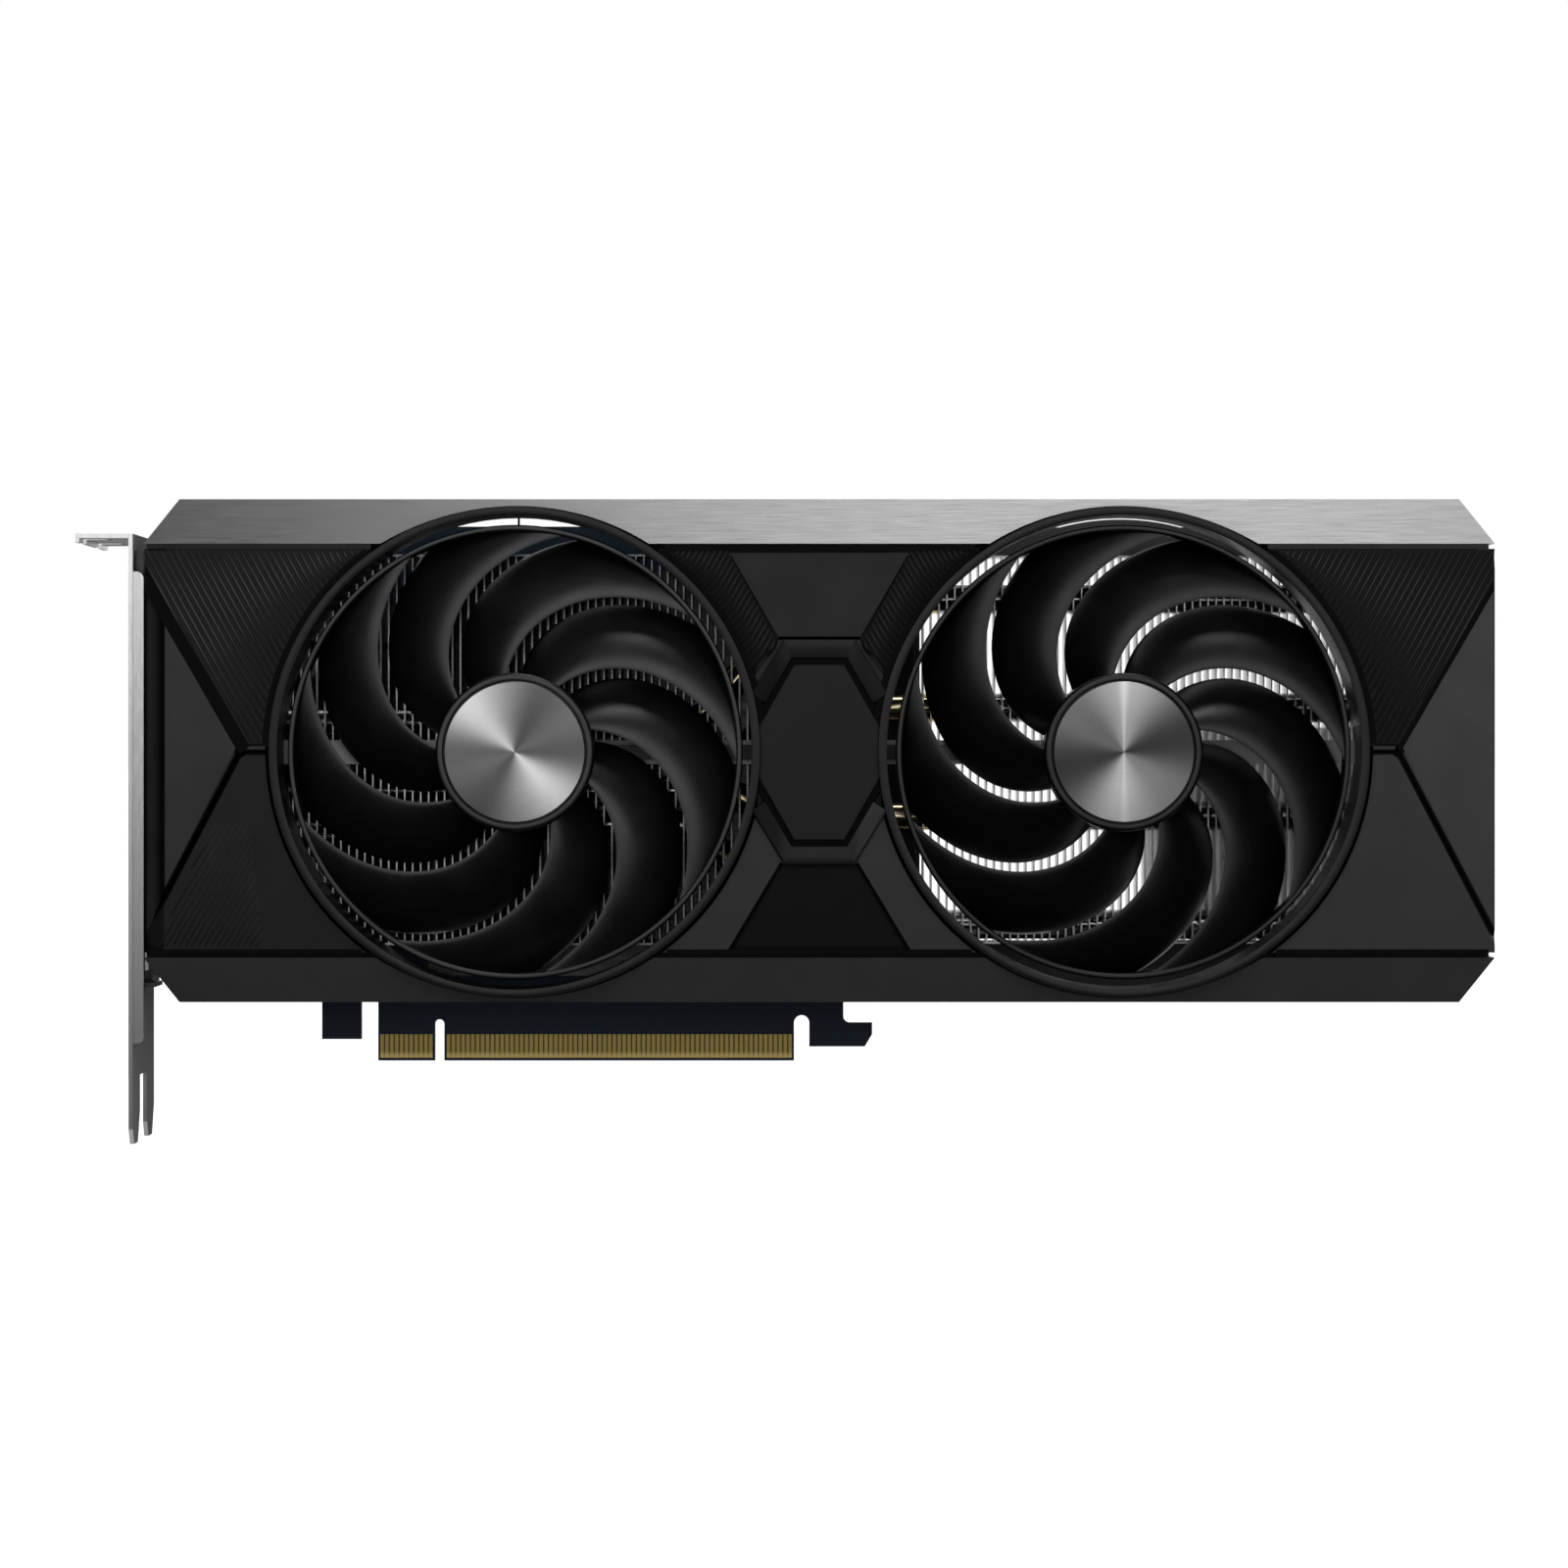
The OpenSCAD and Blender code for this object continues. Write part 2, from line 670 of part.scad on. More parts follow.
module inductors() color([0.25, 0.25, 0.25]) front() for (i = [-3:3])
  chip([-9, phase_y - i * phase_pitch], [8, 7.6, 3.6], half_t);

module capacitors() color([0.6, 0.6, 0.62]) front() for (i = [0:2])
  for (y = can_y)
    translate([-22, y + i * 7.4, half_t]) cylinder(r = 3.1, h = 5.6);

header_x = [cold_x1 + 6.2, cold_x1 + 11.8];
header_y = pipe_mid;
header_h = 4;

module fan_headers() color([0.85, 0.85, 0.8]) front() for (x = header_x)
  chip([x, header_y], [4.4, 9, header_h], half_t);

// flat lead along a motor's arm, down past the ring, over the pipes and into its header
module fan_lead(x, header) {
  way = header > x ? 1 : -1;
  start = x + way * (tube_r + 9);
  outside = x + way * (ring_r + 1);
  drop_x = way > 0 ? max(header, outside) : min(header, outside);
  level = near_z + 1;
  side = lead_w / 2;
  box([min(start, drop_x), max(start, drop_x)], [-side, side], [arm_front, arm_front + lead_t]);
  box([drop_x - lead_t / 2, drop_x + lead_t / 2], [-side, side], [level, arm_front + lead_t]);
  box([min(drop_x, header) - lead_t / 2, max(drop_x, header) + lead_t / 2],
    [min(0, header_y) - side, max(0, header_y) + side], [level, level + lead_t]);
  box([header - lead_t / 2, header + lead_t / 2], [header_y - side, header_y + side],
    [half_t + header_h, level + lead_t]);
}

module fan_leads() color([0.05, 0.05, 0.05]) front() {
  fan_lead(left_x, header_x[0]);
  fan_lead(right_x, header_x[1]);
}

module cold_plate() color([0.72, 0.45, 0.3]) front() difference() {
  box([cold_x0, cold_x1], [core_y - cold_half, core_y + cold_half], [die_top, die_top + cold_t]);
  at_springs() translate([0, 0, die_top - 1]) cylinder(r = spring_r, h = cold_t + 2);
}

// straight length of pipe along x, drawn in by a hair and reaching a little into the bends at its ends
module pipe_run(from, to) {
  translate([from - tuck, 0, 0]) rotate([0, 90, 0]) cylinder(r = pipe_r - draw_in, h = to - from + 2 * tuck);
}

module pipe_bend(turn) {
  rotate_extrude(angle = turn) translate([bend_r, 0]) circle(r = pipe_r);
}

// one pipe: straight over the cold plate, an S-bend from height ya to yb, straight through the open stack
module heat_pipe(ya, yb, bend_x) {
  d = abs(yb - ya);
  turn = min(45, 0.7 * acos(max(-1, 1 - d / (2 * bend_r))));
  run = (d - 2 * bend_r * (1 - cos(turn))) / sin(turn);
  end_x = bend_x + 2 * bend_r * sin(turn) + run * cos(turn);
  translate([0, ya, pipe_z]) pipe_run(near_x0 - 0.5, bend_x);
  translate([bend_x, ya, pipe_z]) rotate([yb > ya ? 0 : 180, 0, 0]) {
    translate([0, bend_r, 0]) rotate([0, 0, -90]) pipe_bend(turn);
    translate([bend_r * sin(turn), bend_r * (1 - cos(turn)), 0]) rotate([0, 0, turn]) {
      pipe_run(0, run);
      translate([run, -bend_r, 0]) rotate([0, 0, 90 - turn]) pipe_bend(turn);
    }
  }
  translate([0, yb, pipe_z]) pipe_run(end_x, open_x1 + 2);
}

module heat_pipes() color([0.72, 0.45, 0.3]) front() for (i = [-1.5:1:1.5])
  heat_pipe(core_y + i * pipe_close, pipe_mid + i * pipe_pitch, first_bend + (1.5 - abs(i)) * stagger);

// n gaps between fins, joined by folds along the top and bottom edges
module fins(n) {
  fold = 0.4;
  difference() {
    translate([0, fin_mid - fin_h / 2]) square([n * fin_pitch + fin_t, fin_h]);
    for (i = [0:n - 1])
      translate([i * fin_pitch + fin_t, fin_mid - fin_h / 2 + fold])
        square([fin_pitch - fin_t, fin_h - 2 * fold]);
  }
}

module near_fin_stack() color([0.6, 0.6, 0.62]) front() {
  translate([near_x0, 0, near_z]) linear_extrude(near_d) fins(near_n);
  translate([near_x0, 0, die_top + cold_t]) linear_extrude(near_z - die_top - cold_t + eps) intersection() {
    fins(near_n);
    union() {
      translate([-near_x0, core_y + leg_in]) square([leg_l, fin_h]);
      translate([-near_x0, core_y - leg_in - fin_h]) square([leg_l, fin_h]);
    }
  }
}

module open_fin_stack() color([0.6, 0.6, 0.62]) front() difference() {
  translate([open_x0, 0, open_z]) linear_extrude(open_d) fins(open_n);
  for (i = [-1.5:1:1.5])
    translate([open_x0 - 1, pipe_mid + i * pipe_pitch, pipe_z]) rotate([0, 90, 0])
      cylinder(r = pipe_r + pipe_clear, h = open_x1 - open_x0 + 2);
}

module retention_plate() color([0.6, 0.6, 0.6]) front() difference() {
  union() for (a = [45, -45])
    translate([core_x, core_y, -half_t - clip_t]) rotate([0, 0, a])
      translate([-clip_l / 2, -clip_w / 2, 0]) cube([clip_l, clip_w, clip_t]);
  at_springs() translate([0, 0, -9]) cylinder(r = spring_r + spring_clear, h = 18);
}

module spring_screws() color([0.4, 0.4, 0.4]) front() at_springs() translate([0, 0, -half_t - 3]) {
  cylinder(r = 3.2, h = 3 - clip_t);
  cylinder(r = spring_r, h = die_top + cold_t + half_t + 3);
}

module cover_screws() color([0.2, 0.2, 0.2]) front() for (x = [post_x, end_post_x])
  for (s = [-1, 1])
    translate([x, s * post_y, plate_z]) {
      translate([0, 0, -1.2]) cylinder(r = 2.2, h = 1.2);
      translate([0, 0, -1]) cylinder(r = screw_r, h = 8);
    }

module bracket_screws() color([0.5, 0.5, 0.5]) front() for (y = tab_y)
  translate([bracket_x + tab_hole, y, half_t + sheet_t]) {
    cylinder(r = 2.2, h = 1.4);
    translate([0, 0, -sheet_t - board_t]) cylinder(r = screw_r, h = sheet_t + board_t + 1);
  }

// blades: gap lines between blades sweep back with radius, and each blade drops towards its trailing edge
blade_step = 360 / blade_count;
root_turn = 92;
sweep_a = 32;
sweep_b = 23.5;
tip_in = fan_r - rim_t;
rows = 7;
cols = 6;
root_r = hub_r - hub_wall / 2;
end_r = fan_r - rim_t / 2;
function span(r) = (r - hub_r) / (tip_in - hub_r);
function gap_turn(r) = root_turn - sweep_a * span(r) - sweep_b * span(r) * span(r);
function gap_deg(r) = blade_gap / r * 180 / PI;
function chord(r) = (blade_step - gap_deg(r)) * PI / 180 * r;
function drop(u) = 0.3 * u + 0.7 * u * u;
function pitch_at(r, u) = blade_d * (0.3 + 1.4 * u) / chord(r);
function depth(r, u) = blade_front - 0.6 - blade_d * drop(u);
function half_thick(r, u) = (0.25 + 0.5 * (blade_t - 0.5) * sqrt(max(0, 4 * u * (1 - u))))
  * min(2, sqrt(1 + pitch_at(r, u) * pitch_at(r, u)));
function turn_at(r, u) = gap_turn(r) + gap_deg(r) / 2 + u * (blade_step - gap_deg(r));
function row_r(i) = root_r + (end_r - root_r) * i / rows;
function skin_point(i, j, side) = let(r = row_r(i), u = j / cols, t = turn_at(r, u))
  [r * cos(t), r * sin(t), depth(r, u) + side * half_thick(r, u)];
blade_points = [for (side = [1, -1]) for (i = [0:rows]) for (j = [0:cols]) skin_point(i, j, side)];
function at(side, i, j) = side * (rows + 1) * (cols + 1) + i * (cols + 1) + j;
function split(a, b, c, d) = [[a, b, c], [a, c, d]];
blade_quads = concat(
  [for (i = [0:rows - 1]) for (j = [0:cols - 1])
    [at(0, i, j), at(0, i, j + 1), at(0, i + 1, j + 1), at(0, i + 1, j)]],
  [for (i = [0:rows - 1]) for (j = [0:cols - 1])
    [at(1, i, j), at(1, i + 1, j), at(1, i + 1, j + 1), at(1, i, j + 1)]],
  [for (i = [0:rows - 1]) [at(0, i, 0), at(0, i + 1, 0), at(1, i + 1, 0), at(1, i, 0)]],
  [for (i = [0:rows - 1]) [at(0, i + 1, cols), at(0, i, cols), at(1, i, cols), at(1, i + 1, cols)]],
  [for (j = [0:cols - 1]) [at(0, 0, j + 1), at(0, 0, j), at(1, 0, j), at(1, 0, j + 1)]],
  [for (j = [0:cols - 1]) [at(0, rows, j), at(0, rows, j + 1), at(1, rows, j + 1), at(1, rows, j)]]
);
blade_faces = [for (q = blade_quads) for (t = split(q[0], q[1], q[2], q[3])) t];

module blade() polyhedron(points = blade_points, faces = blade_faces, convexity = 4);

boss_r = 3;
boss_back = bush_front + 0.6;

module rotor() {
  rotate_extrude() polygon([
    [shaft_r, boss_back], [boss_r, boss_back], [boss_r, hub_front - cap_t - hub_wall],
    [magnet_r, hub_front - cap_t - hub_wall], [magnet_r, hub_back], [hub_r, hub_back],
    [hub_r, hub_front - 0.8], [hub_r - 0.8, hub_front], [cap_r, hub_front], [cap_r, hub_front - cap_t],
    [shaft_r, hub_front - cap_t]
  ]);
  rotate_extrude() translate([tip_in, rim_front - rim_d]) square([rim_t, rim_d]);
  for (k = [0:blade_count - 1]) rotate([0, 0, k * blade_step]) blade();
}

module hub_cap() rotate_extrude() polygon([
  [0, hub_front - cap_t], [cap_r, hub_front - cap_t], [cap_r, hub_front - 0.1],
  [cap_r - 0.4, hub_front + 0.3], [0, hub_front + 0.3]
]);

module magnet() rotate_extrude() translate([magnet_r - magnet_t, hub_back + 0.6])
  square([magnet_t, hub_front - cap_t - hub_wall - hub_back - 1.2]);

module shaft() translate([0, 0, arm_front + shaft_lift])
  cylinder(r = shaft_r, h = hub_front - cap_t - arm_front - shaft_lift);

module bearing() translate([0, 0, arm_front]) difference() {
  cylinder(r = bush_r, h = bush_front - arm_front);
  translate([0, 0, bush_floor]) cylinder(r = shaft_r + bearing_clear, h = face_d);
}

core_d = 5;
shoe_t = 1.6;

// four-pole core: a sleeve on the motor tube, four arms and a curved shoe on each
module stator() translate([0, 0, arm_front + 2]) linear_extrude(core_d) difference() {
  union() {
    circle(r = tube_r + 2.4);
    for (k = [0:3]) rotate(45 + k * 90) {
      translate([0, -2]) square([stator_r - shoe_t / 2, 4]);
      intersection() {
        difference() {
          circle(r = stator_r);
          circle(r = stator_r - shoe_t);
        }
        translate([1, -7]) square([stator_r, 14]);
      }
    }
  }
  circle(r = tube_r);
}

module motor_bridge() difference() {
  union() {
    translate([0, 0, ring_back]) cylinder(r = hub_r - 0.7, h = arm_t);
    translate([-ring_r, -arm_w / 2, ring_back]) cube([2 * ring_r, arm_w, arm_t]);
    translate([0, 0, ring_back]) cylinder(r = tube_r, h = bush_front - 1 - ring_back);
  }
  translate([0, 0, arm_front]) cylinder(r = bush_r, h = face_d);
}

module rotor_left() color([0.06, 0.06, 0.06]) at_fan(left_x) rotor();

module hub_cap_left() color([0.7, 0.7, 0.7]) at_fan(left_x) hub_cap();

module magnet_left() color([0.2, 0.2, 0.2]) at_fan(left_x) magnet();

module shaft_left() color([0.6, 0.6, 0.62]) at_fan(left_x) shaft();

module bearing_left() color([0.7, 0.55, 0.3]) at_fan(left_x) bearing();

module stator_left() color([0.5, 0.35, 0.25]) at_fan(left_x) stator();

module motor_bridge_left() color([0.08, 0.08, 0.08]) at_fan(left_x) motor_bridge();

module rotor_right() color([0.06, 0.06, 0.06]) at_fan(right_x) rotor();

module hub_cap_right() color([0.7, 0.7, 0.7]) at_fan(right_x) hub_cap();

module magnet_right() color([0.2, 0.2, 0.2]) at_fan(right_x) magnet();

module shaft_right() color([0.6, 0.6, 0.62]) at_fan(right_x) shaft();

module bearing_right() color([0.7, 0.55, 0.3]) at_fan(right_x) bearing();

module stator_right() color([0.5, 0.35, 0.25]) at_fan(right_x) stator();

module motor_bridge_right() color([0.08, 0.08, 0.08]) at_fan(right_x) motor_bridge();

shroud();
top_rail();
bottom_rail();
centre_badge();
backplate();
pcb();
edge_contacts();
bracket();
displayport_connectors();
hdmi_connector();
power_connector();
gpu_package();
gpu_die();
memory_chips();
memory_pads();
mosfets();
mosfet_pads();
inductors();
capacitors();
fan_headers();
fan_leads();
cold_plate();
heat_pipes();
near_fin_stack();
open_fin_stack();
retention_plate();
spring_screws();
cover_screws();
bracket_screws();
rotor_left();
hub_cap_left();
magnet_left();
shaft_left();
bearing_left();
stator_left();
motor_bridge_left();
rotor_right();
hub_cap_right();
magnet_right();
shaft_right();
bearing_right();
stator_right();
motor_bridge_right();
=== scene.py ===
"""Looks of a dual-fan graphics card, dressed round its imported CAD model. Metres, in the CAD frame:
+X runs along the card away from the bracket, +Z up, and the fans face -Y."""

import json
from math import acos, asin, atan2, ceil, cos, degrees, floor, hypot, pi, radians, sin, sqrt

import bpy
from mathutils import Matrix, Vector


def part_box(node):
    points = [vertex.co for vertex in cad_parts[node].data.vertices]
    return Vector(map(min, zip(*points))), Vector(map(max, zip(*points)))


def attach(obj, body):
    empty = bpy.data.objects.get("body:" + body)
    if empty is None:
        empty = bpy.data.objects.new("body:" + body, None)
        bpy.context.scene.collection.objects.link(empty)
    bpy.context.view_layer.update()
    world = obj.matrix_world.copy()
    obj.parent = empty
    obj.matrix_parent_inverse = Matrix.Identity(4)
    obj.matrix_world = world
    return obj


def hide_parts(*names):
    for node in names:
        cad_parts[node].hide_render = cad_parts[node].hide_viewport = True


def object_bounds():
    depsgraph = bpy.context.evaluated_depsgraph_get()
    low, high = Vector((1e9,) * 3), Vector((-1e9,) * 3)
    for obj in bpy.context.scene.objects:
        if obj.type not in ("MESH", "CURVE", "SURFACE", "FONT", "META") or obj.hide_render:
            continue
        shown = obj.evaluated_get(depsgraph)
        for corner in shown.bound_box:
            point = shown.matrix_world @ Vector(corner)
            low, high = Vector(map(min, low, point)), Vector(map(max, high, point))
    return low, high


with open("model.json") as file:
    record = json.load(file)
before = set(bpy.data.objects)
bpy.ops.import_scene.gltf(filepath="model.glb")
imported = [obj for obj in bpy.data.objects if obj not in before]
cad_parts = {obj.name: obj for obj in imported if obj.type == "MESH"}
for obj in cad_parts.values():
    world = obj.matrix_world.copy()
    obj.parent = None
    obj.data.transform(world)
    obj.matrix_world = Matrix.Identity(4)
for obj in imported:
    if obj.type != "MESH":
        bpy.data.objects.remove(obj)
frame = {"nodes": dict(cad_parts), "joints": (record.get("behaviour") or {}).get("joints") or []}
cad_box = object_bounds()
nodes = frame["nodes"]
MM = 0.001

# Places read from the frame, in millimetres of the front frame: x along the card, y above the fan axes,
# z towards the viewer from the board's mid-plane.
hinges = {j["child"]: j["pos_m"] for j in frame["joints"]}
AXIS_Z = hinges["fan_left"][2]
FAN_X = {side: hinges["fan_" + side][0] / MM for side in ("left", "right")}
FAN_PITCH = FAN_X["right"] - FAN_X["left"]
MID_X = (FAN_X["left"] + FAN_X["right"]) / 2
shroud_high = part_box("shroud")[1]
rail_low, rail_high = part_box("top_rail")
X0, X1 = rail_low.x / MM, rail_high.x / MM
FACE_D = -rail_low.y / MM
RING_R = (shroud_high.z - AXIS_Z) / MM
HALF_L = (X1 - X0) / 2

# Sizes of the face in millimetres, as the CAD shroud has them.
SHROUD_LIFT = 0.3
BEVEL_RISE = 9.2
SEAM = 1.0
FACE_Y = (rail_high.z - AXIS_Z) / MM - SHROUD_LIFT - BEVEL_RISE - SEAM
FIELD_TOP = FACE_Y - 1
RELIEF = 0.6
TRI_X = HALF_L - 0.8
APEX_X = HALF_L - 19
FRAME_Y = 22.2
FRAME_HALF = 7.4
FRAME_FOOT = 17.3

# Rotor sizes in millimetres, as the CAD rotors have them.
rotor_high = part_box("rotor_left")[1]
FAN_R = (rotor_high.z - AXIS_Z) / MM
cap_low, cap_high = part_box("hub_cap_left")
CAP_R = (cap_high.z - AXIS_Z) / MM
RIM_T = 1.2
RIM_D = 5.5
HUB_R = CAP_R + 1.5
HUB_BACK = -rotor_high.y / MM
CAP_T = 1.0
BLADES = 9
BLADE_GAP = 2.3
BLADE_D = 8.2
BLADE_T = 1.3
BLADE_FRONT = FACE_D - 1.8
RIM_FRONT = FACE_D - 1.6


def front(x, y, z):
    """Point of the front frame, in millimetres, as a place in the CAD frame in metres."""
    return Vector((x * MM, -z * MM, AXIS_Z + y * MM))


def add_object(name, data):
    made = bpy.data.objects.new(name, data)
    bpy.context.scene.collection.objects.link(made)
    return made


# Camera: frontal, with the optical axis a little right of and above the picture's middle.
PHOTO_PX = 1600
FOCAL_PX = 4897
AXIS_PX = (833, 766)
CAMERA_AT = (0.07717, -0.984, 0.0635)
SENSOR = 36.0


def make_camera():
    data = bpy.data.cameras.new("camera")
    data.sensor_width = SENSOR
    data.lens = FOCAL_PX / PHOTO_PX * SENSOR
    data.shift_x = (PHOTO_PX / 2 - AXIS_PX[0]) / PHOTO_PX
    data.shift_y = (AXIS_PX[1] - PHOTO_PX / 2) / PHOTO_PX
    data.clip_start, data.clip_end = 0.05, 50
    camera = add_object("camera", data)
    camera.location = CAMERA_AT
    camera.rotation_euler = (radians(90), 0, 0)
    bpy.context.scene.camera = camera


make_camera()
bpy.context.scene.view_settings.view_transform = "Standard"


# Node helpers.
class Nodes:
    """A material's or world's nodes, with short ways to add and join them."""

    def __init__(self, tree):
        self.tree = tree

    def add(self, kind, inputs=None, **settings):
        node = self.tree.nodes.new("ShaderNode" + kind)
        for key, value in settings.items():
            setattr(node, key, value)
        self.fill(node, inputs or {})
        return node

    def fill(self, node, inputs):
        """Joins a node's sockets to others or gives them values. A colour is a grey level or a tuple."""
        for key, value in inputs.items():
            socket = node.inputs[key]
            if isinstance(value, bpy.types.NodeSocket):
                self.tree.links.new(value, socket)
            elif socket.type == "RGBA":
                shade = value if isinstance(value, tuple) else (value, value, value)
                socket.default_value = (*shade, 1.0)
            else:
                socket.default_value = value

    def math(self, operation, a, b=0.0, clamp=False):
        node = self.add("Math", {0: a, 1: b}, operation=operation, use_clamp=clamp)
        return node.outputs[0]

    def minus(self, a, b):
        return self.math("SUBTRACT", a, b)

    def times(self, a, b, clamp=False):
        return self.math("MULTIPLY", a, b, clamp)

    def ramp(self, factor, low, high, out_low=0.0, out_high=1.0):
        node = self.add("MapRange", {0: factor, 1: low, 2: high, 3: out_low, 4: out_high})
        return node.outputs[0]

    def spread(self, noise, low, high):
        """Noise stretched from its usual range to run from low to high."""
        return self.ramp(noise, 0.3, 0.7, low, high)

    def mix(self, factor, a, b):
        """Colour between a and b."""
        return self.add("Mix", {0: factor, 6: a, 7: b}, data_type="RGBA").outputs[2]

    def blend(self, factor, a, b):
        """Number between a and b."""
        return self.add("Mix", {0: factor, 2: a, 3: b}, data_type="FLOAT").outputs[0]

    def place(self, stretch=(1, 1, 1)):
        """Object coordinates in millimetres, squeezed along each axis."""
        coordinates = self.add("TexCoord").outputs["Object"]
        scale = [s / MM for s in stretch]
        return self.add("Mapping", {"Vector": coordinates, "Scale": scale}).outputs[0]

    def noise(self, scale, detail=3.0, stretch=(1, 1, 1)):
        inputs = {"Vector": self.place(stretch), "Scale": scale, "Detail": detail}
        return self.add("TexNoise", inputs).outputs[0]

    def bump(self, height, strength, distance):
        return self.add("Bump", {"Height": height, "Strength": strength, "Distance": distance}).outputs[0]


def empty_tree(owner):
    """Nodes of a new material or world, with the ones it came with taken out."""
    owner.use_nodes = True
    owner.node_tree.nodes.clear()
    return Nodes(owner.node_tree)


def surface(name, shader):
    """New material whose Principled shader is filled in by shader(nodes, principled)."""
    material = bpy.data.materials.new(name)
    made = empty_tree(material)
    principled = made.add("BsdfPrincipled")
    made.output = made.add("OutputMaterial", {0: principled.outputs[0]})
    shader(made, principled)
    return material


# Painted shade in grooves and corners: how the occlusion fades, and the share of colour left in grooves and
# corners.
CREVICE_SHADE_FADE = (0.35, 0.95)
GROOVE_SHADE_SHARE = 0.12
CORNER_SHADE_SHARE = 0.3


def painted_crevice_shade(n, reach, least):
    """Painted shade: a factor that darkens grooves and corners narrower than reach millimetres."""
    sky = n.add("AmbientOcclusion", {"Distance": reach * MM}, samples=8).outputs["AO"]
    return n.ramp(sky, *CREVICE_SHADE_FADE, least, 1.0)


def plastic(name, dark, light, rough, specular, grain=7.0, grain_depth=0.02, reach=0.0, tone=None):
    """Moulded plastic: cloudy colour, uneven gloss and a fine spark-eroded grain. Grooves narrower than reach
    get painted shade, and tone(nodes) gives a factor that varies over the piece, mostly painted light and
    shade."""

    def shader(n, p):
        cloud = n.noise(0.12, 4)
        fine = n.noise(grain, 2)
        base = n.mix(cloud, dark, light)
        share = painted_crevice_shade(n, reach, GROOVE_SHADE_SHARE) if reach else None
        if tone:
            share = n.times(share, tone(n)) if reach else tone(n)
        if share:
            base = n.mix(share, 0.0, base)
        n.fill(p, {
            "Base Color": base,
            "Roughness": n.spread(cloud, rough - 0.05, rough + 0.06),
            "Specular IOR Level": n.times(share, specular) if share else specular,
            "Normal": n.bump(fine, 0.35, grain_depth * MM),
        })

    return surface(name, shader)


def metal(name, dark, light, rough, stretch=(1, 1, 1), brush=3.0, depth=0.01, metallic=1.0, reach=0.0,
          tone=None, dull=None):
    """Bare or plated metal with brushing drawn out along an axis and a cloudy tarnish. Reach and tone are as
    for plastic, and dull(nodes) is 1 where the gloss gives way to a painted level in the colour."""

    def shader(n, p):
        cloud = n.noise(0.15, 5)
        lines = n.noise(brush, 3, stretch)
        base = n.mix(n.times(n.math("ADD", cloud, lines), 0.5), dark, light)
        if reach:
            base = n.mix(painted_crevice_shade(n, reach, CORNER_SHADE_SHARE), 0.0, base)
        if tone:
            base = n.mix(tone(n), 0.0, base)
        n.fill(p, {
            "Base Color": base,
            "Roughness": n.spread(lines, rough - 0.06, rough + 0.08),
            "Metallic": n.minus(metallic, dull(n)) if dull else metallic,
            "Normal": n.bump(lines, 0.25, depth * MM),
        })
        if dull:
            n.fill(p, {"Specular IOR Level": 0.0})

    return surface(name, shader)


# Tones over a piece, worked out from its own coordinates, most of them painted light and shade. Pairs give
# the values at both ends of a fade.
def card_place(n):
    """Sockets of the place in the front frame: along from the card's middle, and height above the axes."""
    parts = n.add("SeparateXYZ", {0: n.place()})
    along = n.minus(parts.outputs[0], MID_X)
    return along, n.minus(parts.outputs[2], AXIS_Z / MM)


def facing(n):
    """Sockets of the surface normal's parts along X, Y and Z."""
    return n.add("SeparateXYZ", {0: n.add("NewGeometry").outputs["Normal"]}).outputs


def within(n, *rooms):
    """1 where every room is above zero."""
    share = None
    for room in rooms:
        step = n.math("GREATER_THAN", room, 0.0)
        share = step if share is None else n.times(share, step)
    return share


# Painted light and shade on the face: brighter to the right, a shadow under the rail and shade along the left
# edge.
PAINTED_SIDE_LIGHT = (0.6, 0.74)
UPPER_FADE = (-2.0, 12.0)
UPPER_SHARE = 0.62
LOW_LEFT_TONE = 0.34
BELOW_BADGE_TONE = 0.16
RAIL_SHADOW_TONE = 0.2
EDGE_SHADE_TONE = (1.0, 0.1)
EDGE_SHADE_FADE = (0.6 - HALF_L, 3.4 - HALF_L)
EDGE_BAND = 4.2
STRIP_END = 18.2
FIELD_END = TRI_X - 2.6
LOW_SLOPE = (TRI_X - APEX_X) / (FACE_Y - 5)


def face_painted_light(n):
    """Painted light brighter towards the right, darker at the lower left and above the axes, nearly black
    below the badge, a painted shadow along the margin under the rail and painted shade along the left edge.
    """
    along, above = card_place(n)
    out = n.math("ABSOLUTE", along)
    tone = n.ramp(along, -HALF_L, HALF_L, *PAINTED_SIDE_LIGHT)
    tone = n.times(tone, n.ramp(above, *UPPER_FADE, 1.0, UPPER_SHARE))
    low_left = within(n, n.minus(-FAN_PITCH / 2, along), n.minus(0.0, above))
    tone = n.blend(low_left, tone, LOW_LEFT_TONE)
    rail_shadow_band = within(n, n.minus(above, FIELD_TOP - 0.1), n.minus(out, STRIP_END), n.minus(FIELD_END, out))
    tone = n.blend(rail_shadow_band, tone, RAIL_SHADOW_TONE)
    line = n.math("DIVIDE", n.minus(out, APEX_X), LOW_SLOPE)
    edge = within(n, n.minus(EDGE_BAND - HALF_L, along), n.math("ADD", above, line))
    tone = n.blend(edge, tone, n.ramp(along, *EDGE_SHADE_FADE, *EDGE_SHADE_TONE))
    below = n.minus(n.times(above, -1.0), FRAME_Y)
    spread = (FRAME_FOOT - FRAME_HALF) / (FIELD_TOP - FRAME_Y)
    side = n.math("ADD", n.times(below, spread), FRAME_HALF)
    return n.blend(within(n, below, n.minus(side, out)), tone, BELOW_BADGE_TONE)


FRAME_LIGHT_TONES = {"top": 0.68, "bottom": 0.62, "left": 0.34, "upper_right": 0.53, "lower_right": 0.95}
FRAME_BEND = (6.5, 8.5)


